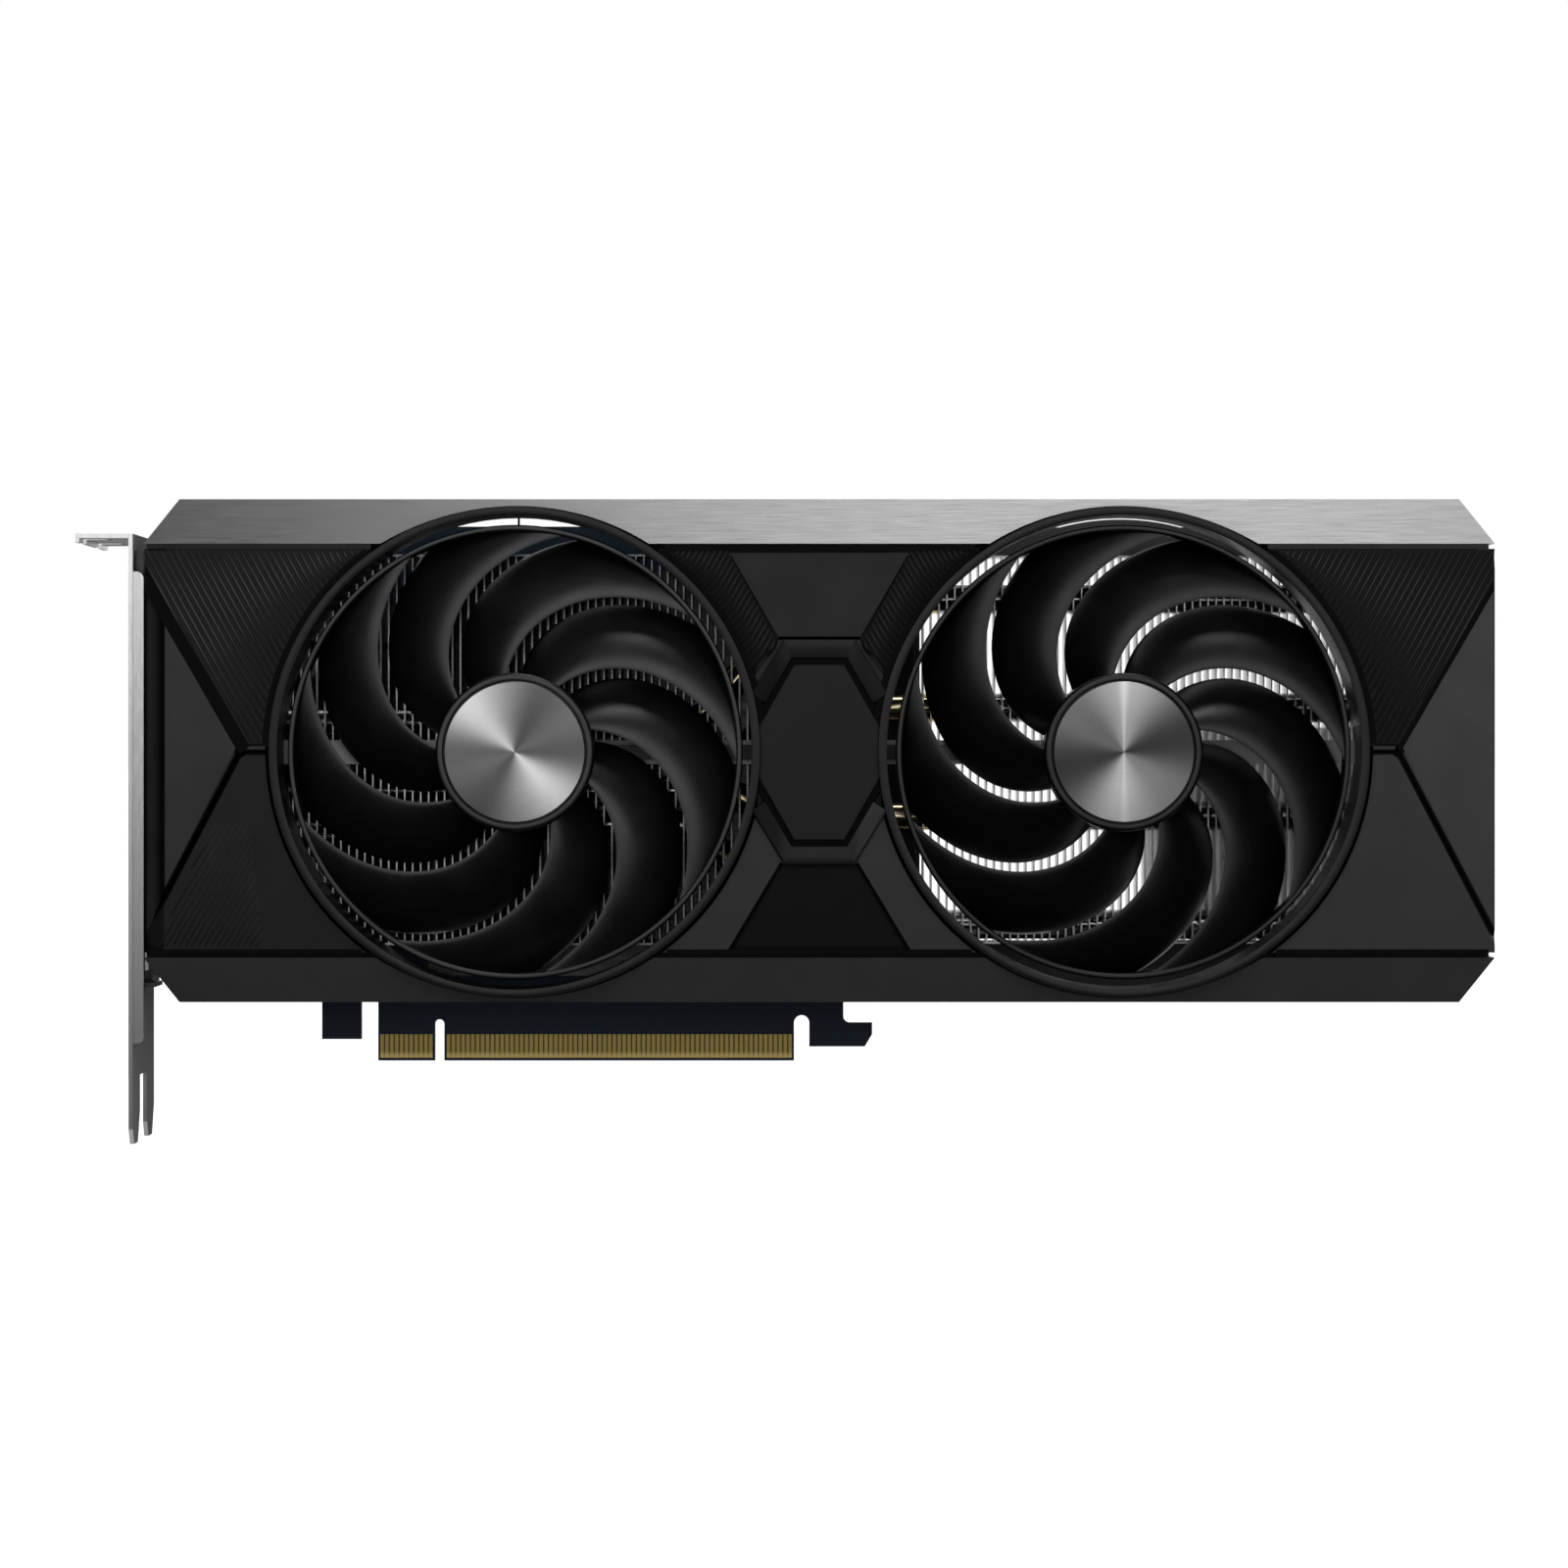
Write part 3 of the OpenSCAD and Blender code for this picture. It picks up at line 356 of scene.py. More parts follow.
def frame_painted_light(n):
    """Painted light as if from the upper left: each side of the badge's frame has its own tone, dark to the
    left, pale at the lower right.
    """
    along, above = card_place(n)
    upper = n.math("GREATER_THAN", above, 0.0)
    flat = n.ramp(upper, 0.0, 1.0, FRAME_LIGHT_TONES["bottom"], FRAME_LIGHT_TONES["top"])
    right = n.ramp(upper, 0.0, 1.0, FRAME_LIGHT_TONES["lower_right"], FRAME_LIGHT_TONES["upper_right"])
    tone = n.blend(n.ramp(along, *FRAME_BEND), flat, right)
    return n.blend(n.ramp(n.times(along, -1.0), *FRAME_BEND), tone, FRAME_LIGHT_TONES["left"])


PANEL_LIGHT_TONE = (0.62, 0.88)


def panel_painted_light(n):
    """Painted light from the right: the right end is paler than the left."""
    along, _ = card_place(n)
    return n.ramp(along, -HALF_L, HALF_L, *PANEL_LIGHT_TONE)


RIB_TONE = (1.0, 0.72)
STRIP_SHARE = 0.62


def rib_tone(n):
    """Ribs are duller to the right and in the strips beside the badge."""
    along, _ = card_place(n)
    ends = n.ramp(along, -FAN_PITCH, FAN_PITCH, *RIB_TONE)
    strips = n.math("LESS_THAN", n.math("ABSOLUTE", along), FAN_PITCH / 2)
    return n.times(ends, n.ramp(strips, 0.0, 1.0, 1.0, STRIP_SHARE))


WARM_HALF = 24


def pipe_warmth(n):
    """Warm tint only where the pipes cross the gap between the fans."""
    along, _ = card_place(n)
    return n.math("LESS_THAN", n.math("ABSOLUTE", along), WARM_HALF)


RAIL_SHADE_FADE = (0.3, 0.5)
RAIL_SHADE_TONE = (0.1, 1.0)


def rail_painted_shade(n):
    """Painted shade: only the faces that look up keep their brightness, so the groove along the rail's foot
    stays dark.
    """
    return n.ramp(facing(n)[2], *RAIL_SHADE_FADE, *RAIL_SHADE_TONE)


NEAR_FIN_LIGHT_FADE = (-95, -50)
NEAR_FIN_LIGHT_TONE = (0.8, 0.35)


def near_fin_painted_light(n):
    """Painted light and shade: bright towards the bracket, dull towards the badge."""
    along, _ = card_place(n)
    return n.ramp(along, *NEAR_FIN_LIGHT_FADE, *NEAR_FIN_LIGHT_TONE)


# Painted light and shade on the bracket: a brightening upwards, a dark line at the fold, a highlight on the
# bend and levels for faces without gloss.
LIP_LIGHT_GROWTH = 1.42
LIP_STEP = 39.3
LIP_MID = -10.3
LIP_LIGHT_LEVEL = 0.55
FOLD_SHADE_FADE = (0.05, 0.2)
FOLD_SHADE_SHARE = 0.7
BEND_HIGHLIGHT_SHARE = 1.2
INNER_SHADE_LEVEL = 0.38
UNDER_LIGHT_LEVEL = 0.9
TIP_H = 3.2
SHEET_T = 0.86
PORT_IN = 0.3
FOLD_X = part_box("displayport_connectors")[0].x / MM - PORT_IN + SHEET_T - MID_X


def looks_down(n):
    return n.math("LESS_THAN", facing(n)[2], -0.5)


def bracket_painted_light(n):
    """Painted light from above: bright at the top and duller downwards, with a painted dark line at the fold
    and a painted highlight on the bend. Faces without gloss have painted levels of their own: shade on the
    inner face and the tips, light on faces that look down.
    """
    along, above = card_place(n)
    steps = n.math("DIVIDE", n.minus(above, LIP_MID), LIP_STEP)
    level = n.times(n.math("POWER", LIP_LIGHT_GROWTH, steps), LIP_LIGHT_LEVEL)
    fold = n.math("ABSOLUTE", n.minus(along, FOLD_X))
    level = n.times(level, n.ramp(fold, *FOLD_SHADE_FADE, FOLD_SHADE_SHARE, 1.0))
    edge = n.math("LESS_THAN", along, FOLD_X)
    level = n.times(level, n.ramp(edge, 0.0, 1.0, 1.0, BEND_HIGHLIGHT_SHARE), clamp=True)
    return n.blend(bracket_painted_faces(n), level, n.ramp(looks_down(n), 0.0, 1.0, INNER_SHADE_LEVEL, UNDER_LIGHT_LEVEL))


def bracket_painted_faces(n):
    """1 where painted levels take the place of the metal's gloss: on the plate's face that looks along the
    card, on faces that look down and at the tongues' tips.
    """
    along, above = card_place(n)
    inner = within(n, n.minus(facing(n)[0], 0.5), n.minus(along, FOLD_X - 0.1))
    tips = n.math("LESS_THAN", above, (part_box("bracket")[0].z - AXIS_Z) / MM + TIP_H)
    return n.math("MAXIMUM", inner, n.math("MAXIMUM", looks_down(n), tips))


GLEAM_FADE = (0.5, 1.3)


def low_edge_painted_highlight(rest):
    """Painted highlight: full along the contacts' lower edge, falling to rest above it."""

    def tone(n):
        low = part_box("edge_contacts")[0].z / MM
        height = n.add("SeparateXYZ", {0: n.place()}).outputs[2]
        return n.ramp(height, low + GLEAM_FADE[0], low + GLEAM_FADE[1], 1.0, rest)

    return tone


# Materials.
SHROUD = plastic("shroud_plastic", 0.008, 0.012, 0.38, 0.5, reach=1.6, tone=face_painted_light)
# The end panels are a paler copy of the shroud plastic: painted light.
PANEL = plastic("panel_plastic_painted_light", 0.008, 0.012, 0.38, 0.5, tone=panel_painted_light)
RIB = plastic("rib_plastic", 0.007, 0.010, 0.4, 0.36, reach=0.8, tone=rib_tone)
# The beds between the ribs are darker than the ribs: painted shade of the sunk fields.
RIB_BED = plastic("rib_bed", 0.003, 0.005, 0.4, 0.13, tone=rib_tone)
FRAME = plastic("frame_plastic", 0.005, 0.008, 0.38, 0.28, tone=frame_painted_light)
RING = plastic("ring_plastic", 0.004, 0.006, 0.38, 0.23)
# Grey skin over the seams at the face's ends, with the panels' painted light.
SEAM_GREY = plastic("seam_grey", 0.005, 0.008, 0.4, 0.28, tone=panel_painted_light)
# Black laid into slits, grooves, seams and gaps: painted shade.
SHADE_BLACK = plastic("painted_shade_black", 0.002, 0.003, 0.5, 0.03)
BADGE = plastic("badge_plastic", 0.006, 0.009, 0.38, 0.13, 9.0, 0.01, reach=1.6)
# The right rotor's plastic is a darker, less glossy copy of the left's: painted shade.
ROTOR = {"left": plastic("rotor_plastic", 0.002, 0.004, 0.34, 0.5, 9.0, 0.008),
         "right": plastic("rotor_plastic_right_shaded", 0.001, 0.002, 0.34, 0.36, 9.0, 0.008)}
BRIDGE = plastic("bridge_plastic", 0.2, 0.26, 0.5, 0.4)
SOCKET = plastic("socket_plastic", 0.012, 0.02, 0.5, 0.4)
HEADER = plastic("header_plastic", (0.62, 0.6, 0.52), (0.7, 0.68, 0.6), 0.5, 0.4)
EPOXY = plastic("chip_epoxy", 0.012, 0.02, 0.55, 0.35)
PACKAGE = plastic("package_laminate", (0.03, 0.1, 0.06), (0.05, 0.14, 0.09), 0.4, 0.5)
SILICON = plastic("die_silicon", (0.1, 0.1, 0.12), (0.16, 0.16, 0.18), 0.12, 0.8)
PAD = plastic("pad_grey", (0.3, 0.32, 0.36), (0.38, 0.4, 0.44), 0.8, 0.2)
LEAD = plastic("lead_skin", 0.01, 0.018, 0.5, 0.4)
COAT = plastic("plate_coat", 0.018, 0.022, 0.5, 0.4, 5.0, 0.02)
BLACK_STEEL = metal("black_screw", 0.02, 0.04, 0.4, metallic=0.6)
# The top rail gets painted shade beside the rings from its reach and along its foot from its tone; the bottom
# rail is a dark, dull plastic copy of the same finish: painted shade.
TOP_RAIL = metal("top_rail_metal", 0.13, 0.15, 0.34, (0.02, 1, 1), 6.0, 0.0012, reach=6, tone=rail_painted_shade)
SHADED_BOTTOM_RAIL = plastic("bottom_rail_shaded_copy", 0.032, 0.04, 0.45, 0.15, 8.0, 0.01)
FIN_LOOK = (0.5, 0.62, 0.3, (1, 1, 0.08), 4.0, 0.004)
FIN = metal("fin_aluminium", *FIN_LOOK)
# The near fins are the fins' metal with painted light and shade along the card.
NEAR_FIN = metal("near_fin_aluminium", *FIN_LOOK, tone=near_fin_painted_light)


def pipe_shader(n, p):
    """Plated pipes with drawing marks along them, tinted in the middle of the card."""
    lines = n.noise(2.0, 3, (0.1, 1, 1))
    warm = n.mix(lines, (0.5, 0.42, 0.27), (0.64, 0.55, 0.36))
    plain = n.mix(lines, 0.3, 0.42)
    n.fill(p, {
        "Base Color": n.mix(pipe_warmth(n), plain, warm),
        "Roughness": n.spread(lines, 0.1, 0.18),
        "Metallic": 1.0,
        "Normal": n.bump(lines, 0.25, 0.004 * MM),
    })


COPPER = surface("copper", pipe_shader)


def sheet_shader(n, p):
    """Pale film that scatters the light from behind, standing in for light off the fins' sides: a painted
    reflection.
    """
    cloud = n.noise(0.3, 4, (1, 1, 0.2))
    through = n.add("BsdfTranslucent", {0: n.mix(cloud, 0.8, 0.95)})
    n.fill(p, {"Base Color": n.mix(cloud, 0.6, 0.75)})
    both = n.add("MixShader", {0: 0.8, 1: p.outputs[0], 2: through.outputs[0]})
    n.fill(n.output, {0: both.outputs[0]})


SHEET = surface("fin_sheet", sheet_shader)
COLD = metal("cold_plating", 0.05, 0.08, 0.3, (0.1, 1, 1), 2.0, 0.01)
LAMINATE = plastic("contact_bed", (0.36, 0.3, 0.15), (0.44, 0.37, 0.19), 0.5, 0.2,
                   tone=low_edge_painted_highlight(0.2))
GOLD = metal("contact_gold", (0.4, 0.285, 0.085), (0.58, 0.43, 0.14), 0.35, (1, 1, 0.2),
             3.0, 0.004, tone=low_edge_painted_highlight(0.6))
STEEL = metal("bracket_steel", 0.56, 0.64, 0.32, (1, 1, 0.1), 3.0, 0.0015, tone=bracket_painted_light, dull=bracket_painted_faces)
SHELL = metal("port_shell", 0.42, 0.5, 0.3, (0.1, 1, 1), 3.0, 0.006)
SPRING = metal("spring_steel", 0.36, 0.46, 0.35, (1, 1, 1), 2.0, 0.006)
CAN = metal("can_metal", 0.5, 0.6, 0.3, (1, 0.1, 1), 3.0, 0.006)
BRONZE = metal("bush_bronze", (0.36, 0.25, 0.1), (0.46, 0.33, 0.16), 0.45)
STATOR = metal("stator_steel", (0.22, 0.15, 0.1), (0.32, 0.22, 0.14), 0.45, (1, 6, 1), 3.0, 0.02)
FERRITE = plastic("inductor_grey", 0.05, 0.08, 0.7, 0.3, 4.0, 0.05)


def board_shader(n, p):
    """Dark solder mask over copper tracks that show as a faint relief."""
    inputs = {"Vector": n.place((1, 1, 0.12)), "Scale": 0.8}
    tracks = n.add("TexVoronoi", inputs, feature="DISTANCE_TO_EDGE")
    edge = n.ramp(tracks.outputs["Distance"], 0.02, 0.08)
    cloud = n.noise(0.1, 4)
    n.fill(p, {
        "Base Color": n.mix(cloud, (0.008, 0.014, 0.022), (0.012, 0.019, 0.032)),
        "Roughness": n.spread(cloud, 0.36, 0.46),
        "Specular IOR Level": 0.08,
        "Normal": n.bump(edge, 0.3, 0.03 * MM),
    })


BOARD = surface("board_mask", board_shader)

# Materials of the CAD nodes.
FINISH = {
    "shroud": SHROUD, "top_rail": TOP_RAIL, "bottom_rail": SHADED_BOTTOM_RAIL, "centre_badge": BADGE,
    "backplate": COAT, "pcb": BOARD, "edge_contacts": GOLD, "bracket": STEEL, "displayport_connectors": SHELL,
    "hdmi_connector": SHELL, "power_connector": SOCKET, "gpu_package": PACKAGE, "gpu_die": SILICON,
    "memory_chips": EPOXY, "memory_pads": PAD, "mosfets": EPOXY, "mosfet_pads": PAD, "inductors": FERRITE,
    "capacitors": CAN, "fan_headers": HEADER, "fan_leads": LEAD, "cold_plate": COLD, "heat_pipes": COPPER,
    "near_fin_stack": NEAR_FIN, "open_fin_stack": FIN, "retention_plate": SPRING, "spring_screws": SPRING,
    "cover_screws": BLACK_STEEL, "bracket_screws": SPRING,
}
for side in FAN_X:
    FINISH.update({
        "rotor_" + side: ROTOR[side], "hub_cap_" + side: CAN, "magnet_" + side: FERRITE,
        "shaft_" + side: SPRING, "bearing_" + side: BRONZE, "stator_" + side: STATOR,
        "motor_bridge_" + side: BRIDGE,
    })
for name, material in FINISH.items():
    nodes[name].data.materials.clear()
    nodes[name].data.materials.append(material)


# Mesh helpers. Points are in millimetres of the front frame.
def piece(name, points, faces, body, slot, material, uvs=None, sharp_deg=35):
    mesh = bpy.data.meshes.new(name)
    mesh.from_pydata([front(*p) for p in points], [], faces)
    mesh.validate()
    if uvs:
        layer = mesh.uv_layers.new(name="turn")
        for loop in mesh.loops:
            layer.data[loop.index].uv = uvs[loop.vertex_index]
    mesh.polygons.foreach_set("use_smooth", [True] * len(mesh.polygons))
    mesh.set_sharp_from_angle(angle=radians(sharp_deg))
    mesh.materials.append(material)
    made = add_object(name, mesh)
    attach(made, body)
    return made


def on_card(name, parts, material, slot="shroud_plastic"):
    """Parts joined into one piece that stays on the card."""
    return piece(name, *join(*parts), "card", slot, material)


def walls(a, b, count):
    """Faces between two loops of count points each, which start at the points a and b."""
    return [(a + s, a + (s + 1) % count, b + (s + 1) % count, b + s) for s in range(count)]


def lathe(profile, centre_x, segments):
    """Closed profile of points (radius, z) turned round a fan's axis. Returns points and faces."""
    points, faces = [], []
    count = len(profile)
    for s in range(segments):
        turn = 2 * pi * s / segments
        points += [(centre_x + r * cos(turn), r * sin(turn), z) for r, z in profile]
        faces += walls((s + 1) % segments * count, s * count, count)
    return points, faces


def join(*parts):
    points, faces = [], []
    for more_points, more_faces in parts:
        faces += [tuple(i + len(points) for i in f) for f in more_faces]
        points += more_points
    return points, faces


# Rotors: the CAD rotor's own blade formula on a finer grid.
BLADE_STEP = 360 / BLADES
ROOT_TURN, SWEEP_A, SWEEP_B = 92, 32, 23.5
BLADE_SET = 0.6
ROOT_IN = 0.6
BLADE_LEAN = 0.3
BLADE_EDGE = 0.5
STEEPEST = 2
TIP_IN = FAN_R - RIM_T
ROWS, COLS = 28, 24


def span(r):
    """Share of the way from the hub to the rim."""
    return (r - HUB_R) / (TIP_IN - HUB_R)


def gap_turn(r):
    """Angle of the gap before a blade, in degrees, swept back towards the rim."""
    return ROOT_TURN - SWEEP_A * span(r) - SWEEP_B * span(r) ** 2


def gap_deg(r):
    return degrees(BLADE_GAP / r)


def blade_point(r, u, face, turn):
    """Point on a blade's front (face 1) or back (face -1), at share u between its edges."""
    chord = radians(BLADE_STEP - gap_deg(r)) * r
    slope = BLADE_D * (BLADE_LEAN + 2 * (1 - BLADE_LEAN) * u) / chord
    half = 0.5 * BLADE_EDGE + 0.5 * (BLADE_T - BLADE_EDGE) * sqrt(max(0, 4 * u * (1 - u)))
    half *= min(STEEPEST, sqrt(1 + slope * slope))
    depth = BLADE_FRONT - BLADE_SET - BLADE_D * (BLADE_LEAN * u + (1 - BLADE_LEAN) * u * u)
    angle = radians(turn + gap_turn(r) + gap_deg(r) / 2 + u * (BLADE_STEP - gap_deg(r)))
    return (r * cos(angle), r * sin(angle), depth + face * half)


def blade(turn, centre_x):
    root_r, end_r = HUB_R - ROOT_IN, FAN_R - RIM_T / 2
    points, faces = [], []
    for face in (1, -1):
        for i in range(ROWS + 1):
            for j in range(COLS + 1):
                x, y, z = blade_point(root_r + (end_r - root_r) * i / ROWS, j / COLS, face, turn)
                points.append((x + centre_x, y, z))
    back = (ROWS + 1) * (COLS + 1)

    def at(i, j):
        return i * (COLS + 1) + j

    for i in range(ROWS):
        for j in range(COLS):
            faces.append((at(i, j), at(i + 1, j), at(i + 1, j + 1), at(i, j + 1)))
            faces.append((back + at(i, j), back + at(i, j + 1), back + at(i + 1, j + 1), back + at(i + 1, j)))
        for j in (0, COLS):
            quad = (at(i, j), at(i + 1, j), back + at(i + 1, j), back + at(i, j))
            faces.append(quad[::-1] if j == 0 else quad)
    for j in range(COLS):
        for i in (0, ROWS):
            quad = (at(i, j), at(i, j + 1), back + at(i, j + 1), back + at(i, j))
            faces.append(quad if i == 0 else quad[::-1])
    return points, faces


def arc(centre, radius, start, end, steps=6):
    """Points of an arc in a profile, angles in degrees."""
    turns = [radians(start + (end - start) * k / steps) for k in range(steps + 1)]
    return [(centre[0] + radius * cos(t), centre[1] + radius * sin(t)) for t in turns]


HUB_WALL = 1.3
HUB_ROUND = 0.7
SEAT_ROUND = 0.25
SHAFT_HOLE_R = 2.0
RIM_ROUND = 0.4


def rotor(side):
    x = FAN_X[side]
    hub_top = FACE_D - CAP_T
    hub_in = HUB_R - HUB_WALL
    hub = [(hub_in, HUB_BACK), (HUB_R, HUB_BACK)]
    hub += arc((HUB_R - HUB_ROUND, FACE_D - HUB_ROUND), HUB_ROUND, 0, 90)
    hub += arc((CAP_R + SEAT_ROUND, FACE_D - SEAT_ROUND), SEAT_ROUND, 90, 180)
    hub += [(CAP_R, hub_top), (SHAFT_HOLE_R, hub_top), (SHAFT_HOLE_R, hub_top - HUB_WALL),
            (hub_in, hub_top - HUB_WALL)]
    rim = [(TIP_IN, RIM_FRONT - RIM_D), (FAN_R, RIM_FRONT - RIM_D)]
    rim += arc((FAN_R - RIM_ROUND, RIM_FRONT - RIM_ROUND), RIM_ROUND, 0, 90)
    rim += arc((TIP_IN + RIM_ROUND, RIM_FRONT - RIM_ROUND), RIM_ROUND, 90, 180)
    blades = [blade(k * BLADE_STEP, x) for k in range(BLADES)]
    points, faces = join(lathe(hub, x, 160), lathe(rim, x, 240), *blades)
    made = piece("rotor_shell_" + side, points, faces, "fan_" + side, "rotor_plastic", ROTOR[side])
    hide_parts("rotor_" + side)


# Hub caps: spun discs with bow-tie highlights painted into their colour by the angle round the cap.
# A painted streak is an angle in degrees, a sharpness and a gain. What lies between streaks has the dim
# level.
# The dish has radii and drops of the cap's face.
PAINTED_STREAKS = {
    "left": [(137, 11, 0.46), (-44, 11, 0.5), (105, 11, 0.15), (-80, 11, 0.17), (30, 11, 0.06),
             (200, 11, 0.057)],
    "right": [(87, 4.8, 0.31), (-95, 4.8, 0.35), (90, 400, 0.18), (-90, 400, 0.1), (152, 14, 0.085),
              (-30, 14, 0.11), (-55, 14, 0.05)],
}
DIM = {"left": 0.07, "right": 0.035}
CAP_LIGHT = 0.94
CAP_SEGMENTS = 180
CAP_ROUND = 0.3
CAP_EDGE = CAP_R - CAP_ROUND - 0.2
EYE_R = 0.02
EDGE_DROP = 0.02
DISH = ((EYE_R, 0.25), (3.0, 0.2), (7.0, 0.12), (CAP_EDGE, EDGE_DROP))


def cap_material(side):
    """Spun metal with painted highlight streaks that follow the angle round the cap, kept in the mesh's UV
    map.
    """

    def shader(n, p):
        uv = n.add("UVMap", uv_map="turn").outputs[0]
        parts = n.add("SeparateXYZ", {0: uv})
        turn = n.times(parts.outputs[0], 2 * pi)
        level = None
        for angle, power, gain in PAINTED_STREAKS[side]:
            lobe = n.math("COSINE", n.minus(turn, radians(angle)))
            lobe = n.math("POWER", n.math("MAXIMUM", lobe, 0.0), power)
            lobe = n.times(lobe, gain / CAP_LIGHT)
            level = lobe if level is None else n.math("ADD", level, lobe)
        level = n.math("ADD", level, DIM[side] / CAP_LIGHT)
        stretched = n.add("Mapping", {"Vector": uv, "Scale": (6.0, 260.0, 1.0)}).outputs[0]
        inputs = {"Vector": stretched, "Scale": 1.0, "Detail": 2.0}
        rings = n.add("TexNoise", inputs, noise_dimensions="2D").outputs[0]
        level = n.times(level, n.spread(rings, 0.93, 1.07))
        n.fill(p, {
            "Base Color": n.mix(level, 0.0, 1.0),
            "Metallic": 1.0,
            "Roughness": n.spread(rings, 0.32, 0.42),
            "Normal": n.bump(rings, 0.1, 0.01 * MM),
        })

    return surface("cap_metal_" + side, shader)


def hub_cap(side):
    x = FAN_X[side]
    top = -cap_low.y / MM
    back = FACE_D - CAP_T
    profile = [(r, top - drop) for r, drop in DISH]
    profile += arc((CAP_EDGE, top - EDGE_DROP - CAP_ROUND), CAP_ROUND, 80, 0, 5)
    profile += [(CAP_EDGE + CAP_ROUND, back), (EYE_R, back)]
    count = len(profile)
    points, faces, uvs = [], [], []
    for s in range(CAP_SEGMENTS + 1):
        turn = 2 * pi * s / CAP_SEGMENTS
        points += [(x + r * cos(turn), r * sin(turn), z) for r, z in profile]
        uvs += [(s / CAP_SEGMENTS, r / CAP_R) for r, _ in profile]
    for s in range(CAP_SEGMENTS):
        faces += walls(s * count, (s + 1) * count, count)
    made = piece("cap_disc_" + side, points, faces, "fan_" + side, "cap_metal", cap_material(side), uvs)
    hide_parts("hub_cap_" + side)


for side in FAN_X:
    rotor(side)
    hub_cap(side)


# Ribs of the sunk fields: slanted ridges, cut by the fields' outlines and kept off the rings.
RING_BAND = 1.4
RIB_RISE = 0.2
RIB_MARGIN = 0.2
RIB_FILL = 0.6
RIB_CREST = 0.45
RIB_DRAW = 0.3
RIB_LEAST = 0.8
RIB_PITCH, RIB_DEG = 1.26, 61
STRIP_PITCH, STRIP_DEG = 1.06, 60
FAINT_PITCH = 1.1
FAINT_SINK, FAINT_RISE = 0.02, 0.05


def inside(polygon, point, direction):
    """Stretch of the line point + t * direction inside a convex polygon given anticlockwise, or None."""
    low, high = -1e9, 1e9
    for (ax, ay), (bx, by) in zip(polygon, polygon[1:] + polygon[:1]):
        nx, ny = ay - by, bx - ax
        rate = nx * direction[0] + ny * direction[1]
        room = nx * (point[0] - ax) + ny * (point[1] - ay)
        if abs(rate) < 1e-9:
            if room < 0:
                return None
            continue
        t = -room / rate
        if rate > 0:
            low = max(low, t)
        else:
            high = min(high, t)
    return (low, high) if high > low else None


def off_ring(stretch, point, direction, centre_x):
    """Parts of a stretch of a line outside a ring and the painted shadow beside it."""
    radius = RING_R + RING_BAND
    fx, fy = point[0] - centre_x, point[1]
    b = fx * direction[0] + fy * direction[1]
    c = fx * fx + fy * fy - radius * radius
    if b * b <= c:
        return [stretch]
    root = sqrt(b * b - c)
    parts = [(stretch[0], min(stretch[1], -b - root)), (max(stretch[0], -b + root), stretch[1])]
    return [p for p in parts if p[1] > p[0]]


def rib_prism(point, direction, stretch, width, low, high):
    """Closed ridge with a narrower top along a stretch of a line."""
    side = (-direction[1], direction[0])
    points = []
    for t, pull in ((stretch[0], 1), (stretch[1], -1)):
        for offset, z, draw in ((-1, low, 0), (-RIB_CREST, high, 1), (RIB_CREST, high, 1), (1, low, 0)):
            along = t + pull * draw * RIB_DRAW
            points.append((point[0] + along * direction[0] + offset * width / 2 * side[0],
                           point[1] + along * direction[1] + offset * width / 2 * side[1], z))
    return points, [(0, 1, 2, 3), (7, 6, 5, 4)] + walls(4, 0, 4)


def ribs(polygon, slope_deg, pitch, low, high):
    """All ridges of one field. Slope is the ridges' angle from the card's length."""
    direction = (cos(radians(slope_deg)), sin(radians(slope_deg)))
    side = (-direction[1], direction[0])
    reach = [p[0] * side[0] + p[1] * side[1] for p in polygon]
    parts = []
    for k in range(ceil(min(reach) / pitch), floor(max(reach) / pitch) + 1):
        point = (k * pitch * side[0], k * pitch * side[1])
        stretch = inside(polygon, point, direction)
        if stretch is None:
            continue
        kept = [stretch]
        for x in FAN_X.values():
            kept = [q for s in kept for q in off_ring(s, point, direction, x)]
        parts += [rib_prism(point, direction, s, pitch * RIB_FILL, low, high)
                  for s in kept if s[1] - s[0] > RIB_LEAST]
    return parts


# Ends of the face, in millimetres out from the card's middle. A line runs from its foot at the axes' height
# up to the face's edge, with the panel outside it paler by painted light, a black band of painted shade along
# it and the ribs inside it.
SIDES = (("left", -1), ("right", 1))
LINE_FOOT = 114.8
LINE_SLOPE = 0.58
BAND_W = {"left": 3.0, "right": 1.2}
FACE_EDGE = HALF_L - 0.2
PANEL_EDGE = {"left": HALF_L - EDGE_BAND, "right": FACE_EDGE}
SKIN_TOP = FACE_Y + SHROUD_LIFT - 0.3
FIELD_LOW = 1.6

# Corners of the strip to the left of the badge.
STRIP_FOOT = (-9.0, 21.0)
STRIP_KNEE = (-8.6, 22.4)
STRIP_HEAD = (-STRIP_END, SKIN_TOP)


def line_height(out, foot):
    """Height at which an end's line with this foot passes a place along the card."""
    return (out - foot) / LINE_SLOPE


def end_field(side, edge):
    """Ribbed field of an end, without the ring's circle, anticlockwise on the left once mirrored."""
    foot = LINE_FOOT - BAND_W[side]
    low_edge = [(foot + FIELD_LOW * LINE_SLOPE, FIELD_LOW), (FAN_PITCH / 2 + 36, FIELD_LOW)]
    return low_edge + [(FAN_PITCH / 2, SKIN_TOP), (edge, SKIN_TOP), (edge, line_height(edge, foot))]


